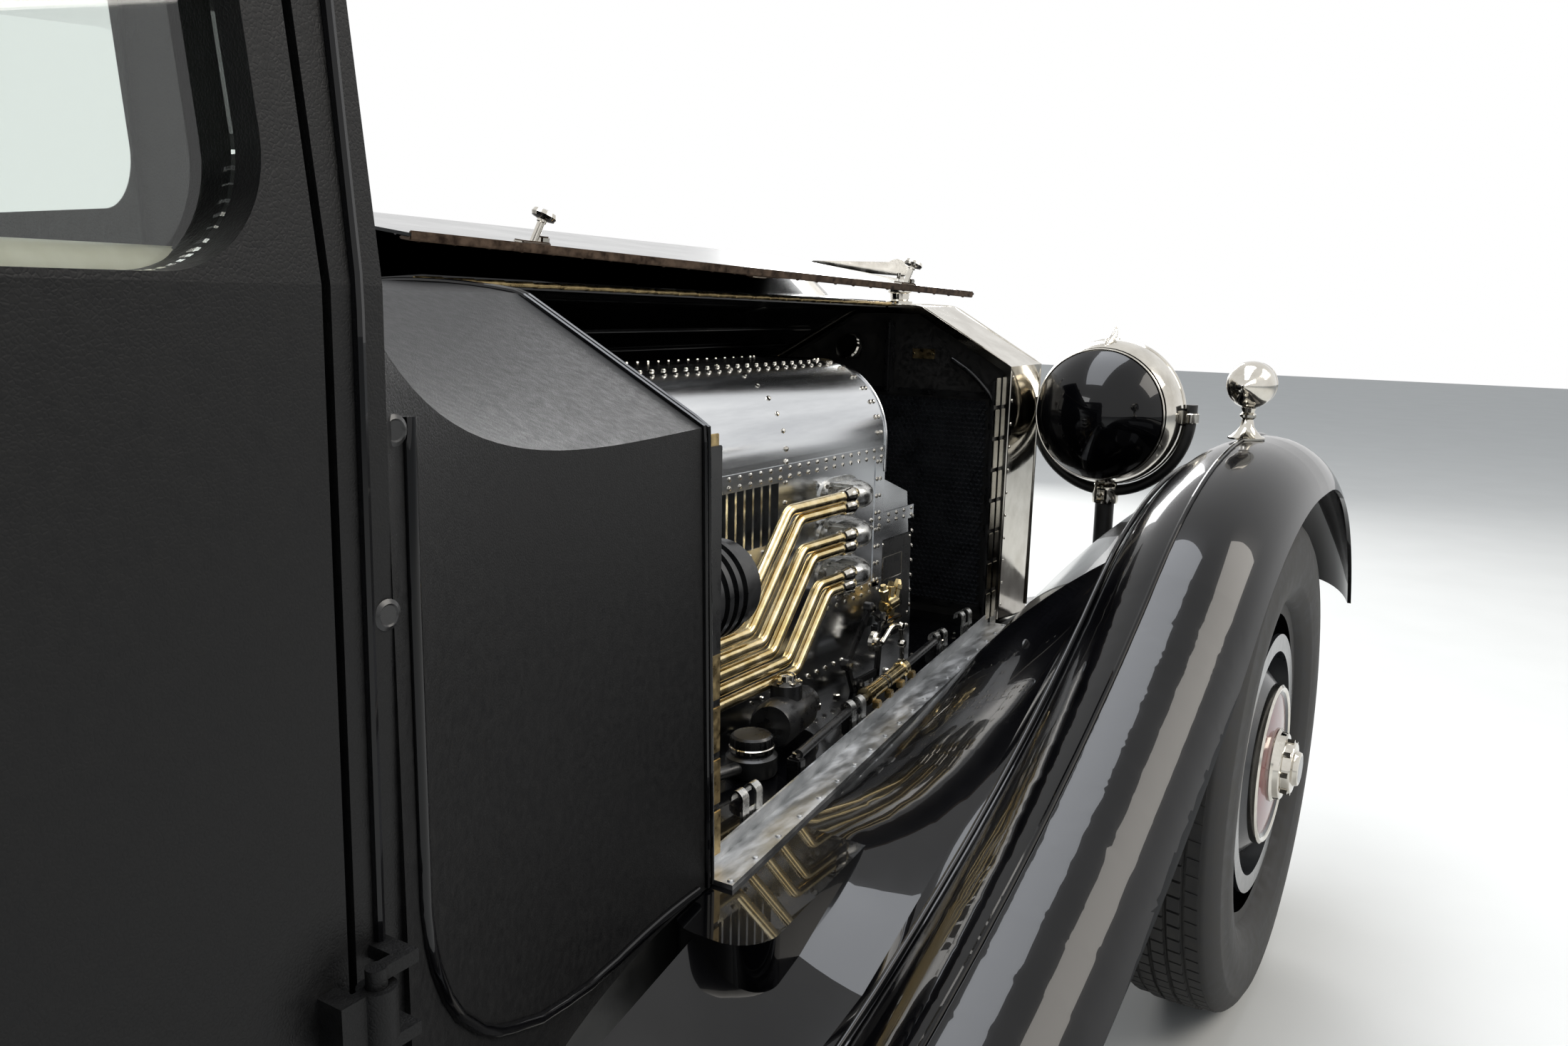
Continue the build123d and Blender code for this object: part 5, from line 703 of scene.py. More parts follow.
bay = {
    # the bell crank's forked bracket: arms and bosses as (x, z)
    "bracketY": -236, "arm": (12, 7, 14),
    "arms": [((1607, 732), (1534, 650)), ((1607, 732), (1652, 706)), ((1652, 706), (1640, 598)),
        ((1534, 650), (1560, 598)), ((1560, 612), (1640, 612))],
    "bosses": [(1607, 732), (1652, 706), (1574, 606), (1534, 650)],
    "boss": [(0, -7), (10, -7), (10, 5), (6, 7), (0, 7)], "bossCap": [(0, 6), (5.5, 6), (5.5, 11), (0, 12)],
    "disc": [(0, -8), (19, -8), (19, 0), (16, 3), (8, 3), (7, 9), (0, 10)], "discPlace": (1639, -236, 665),
    # links: radius, bend, points; then the ball joints on them
    "links": [(5, 12, [(1639, -246, 665), (1668, -250, 690), (1700, -250, 682)]),
        (4, 10, [(1700, -250, 682), (1704, -252, 650), (1710, -250, 612)])],
    "balls": [(1700, -250, 682), (1704, -252, 650), (1710, -250, 614)],
    "ball": [(0, -7), (6, -6), (8.5, 0), (6, 6), (0, 7)],
    "unionPlace": (1690, -232, 722),
    "union": [(0, -24), (9, -24), (9, -16), (13, -15), (13, 14), (9, 16), (9, 22), (0, 23)],
    "stub": [(0, 0), (7, 0), (7, 16), (9.5, 17), (9.5, 25), (7.5, 26), (5, 34), (0, 34)],
    "stubs": ((-16, -0.35), (2, 0.0), (20, 0.35)),
    "drain": [(0, 0), (10, 0), (10, 12), (7, 14), (7, 26), (0, 27)],
    # rods beside the ledge; the lower one runs at this height and this far forward and inward
    "rod": [(1167, -368, 640), (1444, -324, 640), (1620, -302, 640), (1784, -278, 640)],
    "lowRod": (30, 26, 622), "rodBend": 40, "clamps": (0.0, 0.33, 0.66, 1.0), "clamp": (18, 22, 38),
    "sleeve": ((1430, -326, 640), (1607, -304, 640)),
    "sleeveEnd": [(7, 0), (14, 1), (14, 16), (12, 18)], "bands": (0.42, 0.5),
    "band": [(12, -1.5), (12.8, -1), (12.8, 1), (12, 1.5)],
    # steering box: sides, height above its middle, profile
    "boxPlace": (1290, -270, 640), "boxAxis": (1, 0.25, -0.08), "boxBolts": (6, 19, 50),
    "box": [(0, -70), (30, -70), (34, -60), (34, 50), (26, 62), (26, 90), (0, 92)],
    "boxLid": [(0, 0), (24, 0), (24, 22), (16, 26), (0, 27)],
    "boxKnob": [(0, 0), (14, 0), (14, 9), (11, 10), (0, 10)],
    "tank": (1164, -294, 615), "tankBody": [(0, -16), (34, -16), (36, -12), (36, 10), (30, 14), (30, 20),
        (0, 20)],
    "tankRing": [(30.5, 18), (32, 19), (32, 24), (30.5, 25)],
    "tankCap": [(27, 24), (29, 25), (29, 37), (26, 40), (0, 41)], "capGrips": (24, 29, 31),
    "grip": (2.6, 2.6, 11),
    "hose": [(-30, 0, 0), (-90, 10, 4), (-150, 40, -4), (-250, 60, 0)], "hoseRadius": 9,
    "trayBolt": [(0, 0), (6.5, 0), (6.5, 4), (5, 5.5), (0, 5.5)], "trayBolts": 16, "trayZ": 598.5,
    # bent hooks on the ledges: where each pair stands, and its strip as (inward, up)
    "hooks": [(1972, -258), (1805, -283), (1378, -344), (1010, -397)], "hookFoot": 606,
    "hookLine": [(0, 0), (0, 42), (9, 49), (17, 42), (17, 34)],
    "hookSection": [(-7, -1.4), (7, -1.4), (7, 1.4), (-7, 1.4)],
    "ledge": [(876, -458, 604), (2086, -289, 604)], "clips": [(1450, -338, 620), (1620, -313, 620)],
}


def makeLinkage(bm, black, brass, nickel):
    extra, deep, high = bay["arm"]
    out, y = (0, -1, 0), bay["bracketY"]
    for (xa, za), (xb, zb) in bay["arms"]:
        length = sqrt((xb - xa) ** 2 + (zb - za) ** 2)
        turn = Matrix.Rotation(-atan2(zb - za, xb - xa), 4, "Y")
        block(bm, ((xa + xb) / 2, y, (za + zb) / 2), (length + extra, deep, high), 2, turn, black)
    for x, z in bay["bosses"]:
        turned(bm, bay["boss"], (x, y, z), out, 20, black)
        turned(bm, bay["bossCap"], (x, y, z), out, 6, nickel)
    turned(bm, bay["disc"], bay["discPlace"], out, 32, nickel)
    for radius, bend, points in bay["links"]:
        pipe(bm, points, radius, bend, 10, nickel)
    for spot in bay["balls"]:
        turned(bm, bay["ball"], spot, (0, 1, 0), 16, nickel)
    # brass union with three stubs and a drain, over its clamp and bracket
    x, y, z = bay["unionPlace"]
    turned(bm, bay["union"], (x, y, z), (1, 0, 0.1), 24, brass)
    for dx, lean in bay["stubs"]:
        turned(bm, bay["stub"], (x + dx, y, z + 6), (lean, 0, 1), 6, brass)
    turned(bm, bay["drain"], (x, y, z - 8), (0, 0, -1), 6, brass)
    block(bm, (x, y - 4, z - 26), (58, 14, 8), 2, None, brass)
    block(bm, (x - 4, y + 4, z - 44), (70, 26, 26), 4, None, black)


def makeRods(bm, black, brass, nickel):
    forward, inward, low = bay["lowRod"]
    pipe(bm, bay["rod"], 6.5, bay["rodBend"], 12, black)
    pipe(bm, [(x + forward, y + inward, low) for x, y, z in bay["rod"]], 5, bay["rodBend"], 12, black)
    a, b = (Vector(p) for p in bay["sleeve"])
    span = (b - a).length
    end = bay["sleeveEnd"]
    turned(bm, end + [(r, span - s) for r, s in reversed(end)], a, b - a, 24, brass)
    for t in bay["bands"]:
        turned(bm, bay["band"], a.lerp(b, t), b - a, 24, black)
    for t in bay["clamps"]:
        p = Vector(bay["rod"][0]).lerp(Vector(bay["rod"][-1]), t)
        block(bm, (p.x, p.y + 4, 617), bay["clamp"], 3, None, black)
        nut(bm, 6, 5, (p.x, p.y + 4, 637), (0, 0, 1), nickel)


def makeSteeringBox(bm, black, nickel):
    up = (0, 0, 1)
    x, y, z = bay["boxPlace"]
    turned(bm, bay["box"], (x, y, z), bay["boxAxis"], 28, black)
    turned(bm, bay["boxLid"], (x, y, z + 28), up, 28, black)
    turned(bm, bay["boxKnob"], (x, y, z + 54), up, 12, nickel)
    count, radius, rise = bay["boxBolts"]
    for i in range(count):
        a = i * pi / 3
        nut(bm, 5, 4, (x + radius * cos(a), y + radius * sin(a), z + rise), up, nickel)


def makeTank(bm, black, nickel):
    # reservoir with a ringed, knurled cap, and its hose
    up = (0, 0, 1)
    x, y, z = bay["tank"]
    turned(bm, bay["tankBody"], (x, y, z), up, 32, black)
    turned(bm, bay["tankRing"], (x, y, z), up, 40, nickel)
    turned(bm, bay["tankCap"], (x, y, z), up, 24, black)
    count, radius, rise = bay["capGrips"]
    for i in range(count):
        a = 2 * pi * i / count
        spot = (x + radius * cos(a), y + radius * sin(a), z + rise)
        block(bm, spot, bay["grip"], 0.6, Matrix.Rotation(a, 4, "Z"), black)
    pipe(bm, [(x + dx, y + dy, z + dz) for dx, dy, dz in bay["hose"]], bay["hoseRadius"], 40, 12, black)


def makeHooks():
    bm = bmesh.new()
    for x, y in bay["hooks"]:
        for sign in (-1, 1):
            for dx in (-15, 15):
                points = [(x + dx, sign * (y + a), bay["hookFoot"] + b) for a, b in bay["hookLine"]]
                swept(bm, bent(points, 6), bay["hookSection"])
            block(bm, (x, sign * (y + 1.6), 617), (46, 2.4, 24), 0.8)
    finishPiece("ledgeHooks", bm, ["cast nickel"])


def makeBay():
    black, brass, nickel = 0, 1, 2
    bm = bmesh.new()
    makeLinkage(bm, black, brass, nickel)
    makeRods(bm, black, brass, nickel)
    makeSteeringBox(bm, black, nickel)
    makeTank(bm, black, nickel)
    for i in range(bay["trayBolts"]):
        turned(bm, bay["trayBolt"], (1110 + 58 * i, -226 - 2 * (i % 3), bay["trayZ"]), (0, 0, 1), 6, nickel)
    finishPiece("bayLinkage", bm, ["moulded black", "drawn brass", "buffed nickel"])
    makeHooks()
    # ledge rivets along the outer flange, brass clips on the inner edge
    guides = [("ledgeRivets", bay["ledge"], dome(4.2, 2.8, 10), 62, "scuffed aluminium", "aluminium"),
        ("ledgeClips", bay["clips"], bar(16, 11, 12, 1.5), 56, "hinge brass", "brass")]
    for name, line, makePart, spacing, finish, slot in guides:
        rows = [(line, (0, 0, 1))]
        repeated(name, rows + mirrored(rows), makePart, spacing, finish)
    print("engine bay dressed")


makeBay()


# Folded bonnet: stiffened free edge, catches, latch and hinge knuckles, in the side panel's own frame

foldedSide = {
    "rearFree": (807, -51.5, 1308), "frontFree": (2021.5, -219.5, 1258.5), "rearHinge": (878.5, 437, 1369),
    "swages": (60, 90, 340, 370), "swageSection": (4, 10),
    # knob catches and latch: how far along the free edge and in from it
    "catches": (200, 1040), "catchIn": 31, "latch": 640, "latchIn": 36,
    "knob": [(0, 0), (5, 0), (5, 30), (6.5, 31), (6.5, 34), (15, 36), (17, 40), (15, 45), (8, 47), (0, 47.5)],
    "rivet": (3, 2), "rivetPitch": 48,
}


def makeFoldedBonnet():
    a, b, c = (Vector(foldedSide[k]) for k in ("rearFree", "frontFree", "rearHinge"))
    along = (b - a).normalized()
    up = along.cross((c - a).normalized()).normalized()
    inward = up.cross(along)
    place = Matrix((along, inward, up)).transposed().to_4x4()
    place.translation = a
    turn = place.to_3x3().to_4x4()
    length = (b - a).length
    bm = bmesh.new()
    bronze, nickel, black = 0, 1, 2

    def at(x, y, z):
        return place @ Vector((x, y, z))

    def plates(rows):
        # middle in the panel's frame, size, eased edge, finish
        for middle, size, edge, index in rows:
            block(bm, at(*middle), size, edge, turn, index)

    # bronze angle under the free edge, and the swages of the inner face
    plates([((length / 2, 11, -5), (length - 4, 22, 4), 1.2, bronze),
        ((length / 2, 1.5, -1.0), (length - 4, 4, 11), 1.2, bronze)])
    for y in foldedSide["swages"]:
        swept(bm, [at(40, y, -2.5), at(length - 40, y * 0.86, -2.5)],
            roundSection(*foldedSide["swageSection"]), index=black)
    # knob catches that lean forward on the free edge
    lean = (up + along * 0.35 + inward * -0.05).normalized()
    y = foldedSide["catchIn"]
    for x in foldedSide["catches"]:
        turned(bm, foldedSide["knob"], at(x, y, 2), lean, 24, nickel)
        plates([((x, y, 4.5), (46, 20, 5), 1.5, nickel), ((x + 18, y, 9), (14, 9, 10), 2, nickel),
            ((x, y + 9, -6), (60, 20, 4), 1.5, bronze)])
    # the latch plate that takes the handle when the bonnet is shut
    x, y = foldedSide["latch"], foldedSide["latchIn"]
    plates([((x, y, -7), (66, 22, 6), 2, bronze), ((x + 4, y, -10), (34, 12, 4), 1.5, nickel)])
    finishPiece("foldedBonnetFittings", bm, ["brown bronze", "buffed nickel", "black lacquer"],
        "bonnet_right_side")
    row = [([at(20, 11, -7), at(length - 20, 11, -7)], -up)]
    repeated("foldedBonnetRivets", row, dome(*foldedSide["rivet"]), foldedSide["rivetPitch"], "brown bronze",
        "bonnet_right_side")


hinges = {
    # ends of each line, the way it faces, radius of its knuckles
    "lines": {"centreHinge": ([(880, 0.0, 1258.5), (2084, 0.0, 1236.6)], (0, 0, 1), 4.3),
        "leftShoulderHinge": ([(880, 427.5, 1110), (2084, 270.5, 1119)], (0, 0.6, 0.8), 3.6)},
    "knuckle": 44, "pitch": 52,
    # rest plates: finish, x, low y, high y
    "restPlates": {"rearRestPlates": ("hinge brass", 902, -417, -410),
        "frontRestPlates": ("buffed nickel", 2081, -254, -254)},
    "restPlate": (54, 20, 2.2, 0.8), "restPitch": 57, "restZ": (640, 1072),
    # rests: low x, high x, y, top
    "rests": [(869, 914, 413, 1086), (2068, 2094, 250, 1092)], "restFoot": 612, "restThick": 5,
    "swageX": (920, 2040), "sideSwages": (700, 860, 1020), "topSwages": (0.33, 0.7),
}


def knuckle(radius, length):
    half, slim = length / 2, radius * 0.8
    profile = [(0, -half), (slim, -half), (radius, 1 - half), (radius, half - 1), (slim, half), (0, half)]
    return lambda bm: turned(bm, profile, (0, 0, 0), (1, 0, 0), 10)


def makeHinges():
    s = hinges
    for name, (line, facing, radius) in s["lines"].items():
        repeated(name, [(line, facing)], knuckle(radius, s["knuckle"]), s["pitch"], "hinge brass")
    # bonnet rests: brass-faced webbing up the scuttle's front edge and the shell's rear edge
    for name, (finish, x, low, high) in s["restPlates"].items():
        rows = [([(x, y, z) for y, z in zip((low, high), s["restZ"])], (0, -1, 0))]
        repeated(name, rows + mirrored(rows), bar(*s["restPlate"]), s["restPitch"], finish)
    bm = bmesh.new()
    for sign in (-1, 1):
        for x0, x1, y, top in s["rests"]:
            slab(bm, (x0, x1, s["restFoot"], top), sign * y, s["restThick"], 1.0)
    finishPiece("bonnetRests", bm, ["moulded black"])
    # swages pressed in the left half, seen from inside
    bm = bmesh.new()
    rear, front = s["swageX"]
    lines = [((427.5 - 6 * (z - 610) / 500, z), (268.5 - 4 * (z - 610) / 500, z)) for z in s["sideSwages"]]
    lines += [((221 + 200 * t, 1214 - 107 * t), (103 + 160 * t, 1213 - 95 * t)) for t in s["topSwages"]]
    for a, b in lines:
        swept(bm, [(rear, *a), (front, *b)], roundSection(5, 10))
    finishPiece("bonnetSwages", bm, ["black lacquer"])


makeFoldedBonnet()
makeHinges()
print("bonnet dressed")


# Radiator: honeycomb face, filler, overflow pipe, maker's-plate blank, shell edge strip and studs

radiator = {
    "faceX": 2119.2, "halfWidth": 220, "low": 628, "high": 1050, "pitch": 11, "wall": 1.1, "depth": 3.6,
    "cellFloor": 0.72, "cellTurn": pi / 6,
    "fillerPlace": (2119, 91, 1138), "fillerAxis": (1, 0, -0.35),
    "neck": [(20, 0), (20, -14), (24, -16), (24, -20), (20, -20)],
    "cap": [(0, -34), (26, -34), (29, -31), (29, -21), (24, -19), (0, -18)],
    "overflow": [(2108, -141, 1130), (2108, -188, 1103), (2108, -239, 1052), (2108, -249, 742),
        (2104, -249, 640)],
    "plate": ((2117.6, -73.5, 1137.5), (2.4, 51, 21)), "plateScrewY": (-52, -95),
    "plateScrew": [(2.4, 0), (2, 1.4), (0, 1.8)],
    # black frame round the core: middle, size, eased edge
    "frame": [((2116.5, -228, 850), (5, 12, 470), 1.5), ((2116.5, 228, 850), (5, 12, 470), 1.5),
        ((2116.5, 0, 622), (5, 460, 12), 1.5), ((2116.5, 0, 1060), (5, 460, 12), 1.5),
        ((2108, 0, 1128), (26, 14, 150), 4)],
    # the shell's outline as (y, z)
    "outline": [(-270, 612), (-273, 1120), (-76, 1232.5), (0.0, 1235), (76, 1232.5), (273, 1120), (270, 612)],
    "beadX": (2098.5, 2256.5), "beadRadius": 2.6,
    "studs": [(2110, -271, 640), (2110, -273.5, 1100)], "studPitch": 46,
}


def honeycombCell(bm):
    # a flared six-sided tube, open towards the engine bay
    outer = radiator["pitch"] / sqrt(3)
    inner = outer - radiator["wall"]
    angles = [pi * i / 3 + radiator["cellTurn"] for i in range(6)]
    rings = [[bm.verts.new((radius * cos(a), radius * sin(a), z)) for a in angles]
        for radius, z in ((outer, 0.0), (inner, 0.0), (inner * radiator["cellFloor"], -radiator["depth"]))]
    for lower, upper in zip(rings, rings[1:]):
        for i in range(6):
            bm.faces.new((lower[i], lower[(i + 1) % 6], upper[(i + 1) % 6], upper[i]))
    bm.faces.new(rings[2])


def makeHoneycomb():
    x, pitch, width = radiator["faceX"], radiator["pitch"], 2 * radiator["halfWidth"]
    rise = pitch * sqrt(3) / 2
    reach = int((width - pitch * 1.5) / pitch) * pitch
    rows = []
    for k in range(int((radiator["high"] - radiator["low"]) / rise)):
        z = radiator["low"] + pitch * 0.6 + k * rise
        start = pitch * 0.6 - width / 2 + (pitch / 2 if k % 2 else 0.0)
        rows.append(([(x, start, z), (x, start + reach, z)], (-1, 0, 0)))
    repeated("radiatorHoneycomb", rows, honeycombCell, pitch, "wheel enamel", sharp=20)


def makeRadiator():
    r = radiator
    bm = bmesh.new()
    black, nickel, brass = 0, 1, 2
    turned(bm, r["neck"], r["fillerPlace"], r["fillerAxis"], 32, black)
    turned(bm, r["cap"], r["fillerPlace"], r["fillerAxis"], 12, nickel)
    pipe(bm, r["overflow"], 5.5, 30, 12, black)
    middle, size = r["plate"]
    block(bm, middle, size, 0.6, None, brass)
    for y in r["plateScrewY"]:
        turned(bm, r["plateScrew"], (middle[0] - 1.2, y, middle[2]), (-1, 0, 0), 10, nickel)
    for middle, size, edge in r["frame"]:
        block(bm, middle, size, edge, None, black)
    finishPiece("radiatorFittings", bm, ["moulded black", "buffed nickel", "hinge brass"])
    # nickel beading round the shell's front and rear edges, with studs on its cheeks
    bm = bmesh.new()
    for x in r["beadX"]:
        swept(bm, bent([(x, y, z) for y, z in r["outline"]], 16), roundSection(r["beadRadius"], 8))
    finishPiece("shellBeading", bm, ["buffed nickel"])
    rows = [(r["studs"], (0, -1, 0))]
    repeated("shellStuds", rows + mirrored(rows), dome(3.2, 2, 10), r["studPitch"], "buffed nickel")


makeHoneycomb()
makeRadiator()
print("radiator dressed")


# Lamps: black bowls with bright rims, side lamps, tail lamps; these stand for the CAD lamps

lampSet = {
    "head": (2265.1, 420, 1030), "radius": 145, "blackTo": 62, "beadRadius": 2.2,
    # the rim as steps out from the bowl's radius
    "rim": [(0, 16), (2.5, 18), (2.5, 23), (-1, 24.8), (-7, 24.8), (-7, 20)],
    # parabolic reflector: focal length, depth of its vertex, and where its rings lie
    "focus": 44, "vertex": -92, "bowl": (0, 2, 6, 14, 26, 42, 62, 84, 106),
    "bulb": [(0, -92), (9, -92), (9, -60), (0, -58)],
    "crest": [(-52, 0, 133), (-30, 0, 142), (-8, 0, 150), (4, 0, 160), (10, 0, 169)],
    "crestWidths": [3, 5, 7, 8, 9, 9, 9, 9, 8, 8, 8, 8, 7, 7, 6, 6, 5, 5, 4, 3],
    # trunnion clamps on the fork and the socket on its post
    "forkX": 2276, "forkHalf": 152, "footZ": 870, "clamp": (26, 20, 34), "lug": (14, 22, 26),
    "clampNut": [(0, 0), (8, 0), (8, 6), (6, 8), (0, 8)],
    "clampRing": [(13, -10), (15, -8), (15, 8), (13, 10)],
    "socket": [(19.5, -26), (25, -25), (26, -20), (26, 8), (22, 14), (12, 18), (12, 22)],
    "hook": [(-18, 0, -110), (-40, 0, -120), (-44, 0, -142), (-28, 0, -150)],
    "side": (1989, 743, 1116),
    "sideBody": [(0, -60), (3, -59), (6, -54), (11, -44), (19, -34), (28, -27), (35, -17), (39.2, -4),
        (39.2, 12),
        (36, 24), (38, 26), (38, 30), (30, 31)],
    "sideStem": [(30, -91), (30, -88), (24, -85), (17, -78), (11, -70), (9, -58), (13, -54), (13, -50),
        (9.5, -46),
        (12, -39)],
    "tail": (-2315, 743, 745),
    "tailDrum": [(27, 52), (31, 50), (33, 20), (34, -10), (34, -16), (32, -18), (30, -16)],
    "tailGlass": [(30, -15), (26, -22), (18, -27), (0, -29)],
}


def makeHeadlamp(bm, middle, black, nickel):
    s = lampSet
    r, split, ahead = s["radius"], radians(s["blackTo"]), (1, 0, 0)
    edge = -r * cos(split)
    arc = [(r * sin(radians(a)), -r * cos(radians(a))) for a in range(0, 91, 5)]
    turned(bm, [p for p in arc if p[1] <= edge + 0.1], middle, ahead, 64, black)
    rim = [(r + step, along) for step, along in s["rim"]]
    turned(bm, [p for p in arc if p[1] >= edge - 0.1] + rim, middle, ahead, 64, nickel)
    bowl = [(sqrt(4 * s["focus"] * t), s["vertex"] + t) for t in s["bowl"]]
    turned(bm, bowl, middle, ahead, 64, nickel)
    turned(bm, s["bulb"], middle, ahead, 20, nickel)
    # bead between black and bright, crest over the rim
    ring = r * sin(split)
    turns = [2 * pi * i / 64 for i in range(64)]
    circle = [middle + Vector((edge, ring * cos(t), ring * sin(t))) for t in turns]
    swept(bm, circle, roundSection(s["beadRadius"], 8), closed=True, index=nickel)
    for point, w in zip(bent([middle + Vector(p) for p in s["crest"]], 12), s["crestWidths"]):
        bead = [(0, -w), (w * 0.7, -w * 0.7), (w, 0), (w * 0.7, w * 0.7), (0, w)]
        turned(bm, bead, point, (0, 0, 1), 14, nickel)


def makeLampMount(bm, middle, black, nickel):
    s = lampSet
    for side in (-1, 1):
        spot = Vector((s["forkX"], middle.y + side * s["forkHalf"], middle.z))
        block(bm, spot + Vector((0, -side * 2, 0)), s["clamp"], 4, None, nickel)
        turned(bm, s["clampNut"], spot + Vector((0, side * 8, 0)), (0, side, 0), 6, nickel)
        turned(bm, s["clampRing"], spot + Vector((0, side * 8, -2)), (0, 0, 1), 20, nickel)
    foot = Vector((s["forkX"], middle.y, s["footZ"]))
    turned(bm, s["socket"], foot, (0, 0, 1), 32, nickel)
    block(bm, foot + Vector((-24, 0, -6)), s["lug"], 3, None, nickel)
    nut(bm, 6, 5, foot + Vector((-31, 0, -6)), (-1, 0, 0), nickel)
    swept(bm, bent([foot + Vector(p) for p in s["hook"]], 10), roundSection(4, 8), index=black)


def makeLamps():
    black, nickel, ruby = 0, 1, 2
    ahead, up = (1, 0, 0), (0, 0, 1)
    bm = bmesh.new()
    places = [lampSet[k] for k in ("head", "side", "tail")]
    for sign in (-1, 1):
        head, side, tail = (Vector((x, sign * y, z)) for x, y, z in places)
        makeHeadlamp(bm, head, black, nickel)
        makeLampMount(bm, head, black, nickel)
        turned(bm, lampSet["sideBody"], side, ahead, 40, nickel)
        turned(bm, lampSet["sideStem"], side, up, 36, nickel)
        turned(bm, lampSet["tailDrum"], tail, ahead, 36, nickel)
        turned(bm, lampSet["tailGlass"], tail, ahead, 36, ruby)
    piece = finishPiece("lampBodies", bm, ["black lacquer", "buffed nickel", "ruby glass"])
    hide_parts("lamps")


makeLamps()
print("lamps made")


# Wheels and tyres: bright rings, enamel band, stepped hub cap, ribbed tread; each rides its own wheel

wheelSet = {
    "tyreRadius": 443, "ribs": (-52, -26, 0.0, 26, 52), "ribHalf": 14, "blocks": 96,
    # name, middle, outward
    "places": (("front_right", (2050, -743, 443), (0, -1, 0)), ("front_left", (2050, 743, 443), (0, 1, 0)),
        ("rear_right", (-1760, -743, 443), (0, -1, 0)), ("rear_left", (-1760, 743, 443), (0, 1, 0))),
    "spare": (-2572, 0, 800), "treadRadius": 436.5, "blockHalf": 13, "blockWidth": 20, "blockDeep": 7,
    "blockSkew": 0.12, "blockTaper": 0.94,
    # half of the outer section from the bead: a rim line, a sidewall bulge and the shoulder
    "bulge": [(268, 60), (287, 62), (296, 76), (318, 86), (322, 88.5), (326, 88.5), (330, 90), (352, 93.5),
        (376, 93),
        (398, 88), (402, 89), (406, 88), (424, 79), (433, 71), (436.5, 66)],
    "ring": [(127, 76), (129.5, 81), (133, 84), (138, 84.3), (142.5, 81), (143, 70)],
    "band": [(128, 78), (110, 80.5), (62, 85.6), (58, 85.5)],
    "hubCap": [(66, 84), (66, 88), (61, 92), (59, 101), (57, 102.5), (47, 103.5), (46, 106), (46, 114),
        (44, 117.5),
        (32, 119.5), (31, 121), (29, 127), (26, 127.9), (0, 127.9)],
    "hubNuts": (8, 47, 109), "hubNut": [(0, -6), (5, -6), (5, 6), (0, 6)],
}


def tyreProfile():
    # outer section from bead to bead as (radius, offset) pairs, with a facet for each rib
    radius, half = wheelSet["treadRadius"], wheelSet["ribHalf"]
    tread = [(radius, -y + side * half) for y in wheelSet["ribs"] for side in (1, -1)]
    return wheelSet["bulge"] + tread[1:-1] + [(r, -o) for r, o in reversed(wheelSet["bulge"])]


def treadBlock(bm):
    # one lug of a rib, a little skewed, with a chamfered top
    half, across = wheelSet["blockHalf"], wheelSet["blockWidth"] / 2
    skew, taper = wheelSet["blockSkew"], wheelSet["blockTaper"]
    bottom = [(-half, -across), (half, -across), (half, across), (-half, across)]
    low = [bm.verts.new((x + skew * y, y, -wheelSet["blockDeep"])) for x, y in bottom]
    high = [bm.verts.new((x * taper + skew * y, y * taper, 0.0)) for x, y in bottom]
    bm.faces.new(high)
    for i in range(4):
        bm.faces.new((low[i], low[(i + 1) % 4], high[(i + 1) % 4], high[i]))


def crown(offset):
    # radius of the tread at this distance from the middle
    return wheelSet["tyreRadius"] - 0.6 - 8 * (offset / 70) ** 2


def makeTyre(name, node, body, middle, axis):
    middle, axis = Vector(middle), Vector(axis)
    u, v, w = basis(axis)
    bm = bmesh.new()
    turned(bm, tyreProfile(), middle, axis, 72)
    carcass = finishPiece(name, bm, ["tyre rubber"], body, 50)
    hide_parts(node)
    rows = []
    count, guides = wheelSet["blocks"], 144
    for k, offset in enumerate(wheelSet["ribs"]):
        phase = pi / count * (k % 2)
        angles = [phase + 2 * pi * i / guides * (1 - 1 / count) for i in range(guides + 1)]
        out = [u * cos(a) + v * sin(a) for a in angles]
        rows.append(([middle + d * crown(offset) + w * offset for d in out], out))
    spacing = 2 * pi * (wheelSet["tyreRadius"] - 4) / count
    tread = repeated(name + "Tread", rows, treadBlock, spacing * 0.997, "tyre rubber", body,
        (0.99, 1.0), 3)
    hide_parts(node)


def makeHubFinery(name, body, middle, outward):
    # bright ring, maroon band and stepped hub cap, a little proud of the enamelled disc
    bm = bmesh.new()
    nickel, maroon = 0, 1
    for part, sides, index in (("ring", 72, nickel), ("band", 72, maroon), ("hubCap", 48, nickel)):
        turned(bm, wheelSet[part], middle, outward, sides, index)
    u, v, w = basis(outward)
    count, radius, along = wheelSet["hubNuts"]
    for i in range(count):
        a = 2 * pi * i / count
        spot = Vector(middle) + (u * cos(a) + v * sin(a)) * radius + w * along
        turned(bm, wheelSet["hubNut"], spot, outward, 8, nickel)
    finishPiece(name, bm, ["buffed nickel", "maroon enamel"], body)


def makeWheels():
    for name, middle, outward in wheelSet["places"]:
        makeTyre(f"tyre_{name}_rubber", f"tyre_{name}", f"wheel_{name}", middle, (0, 1, 0))
        makeHubFinery(f"wheel_{name}_finery", f"wheel_{name}", middle, outward)
    makeTyre("spare_tyre_rubber", "spare_tyre", "car", wheelSet["spare"], (1, 0, 0))
    makeHubFinery("spare_wheel_finery", "car", wheelSet["spare"], (-1, 0, 0))


makeWheels()
print("wheels dressed")


# Trim laid on the body: each line is cast onto the CAD surface that carries it

farSide = 1200  # rays onto the body's sides start this far out


def surfaceOf(*names):
    # one searchable surface in millimetres from these CAD nodes
    points, faces = [], []
    for name in names:
        mesh = nodes[name].data
        base = len(points)
        points += [v.co * 1000 for v in mesh.vertices]
        faces += [[base + i for i in polygon.vertices] for polygon in mesh.polygons]
    return BVHTree.FromPolygons(points, faces)


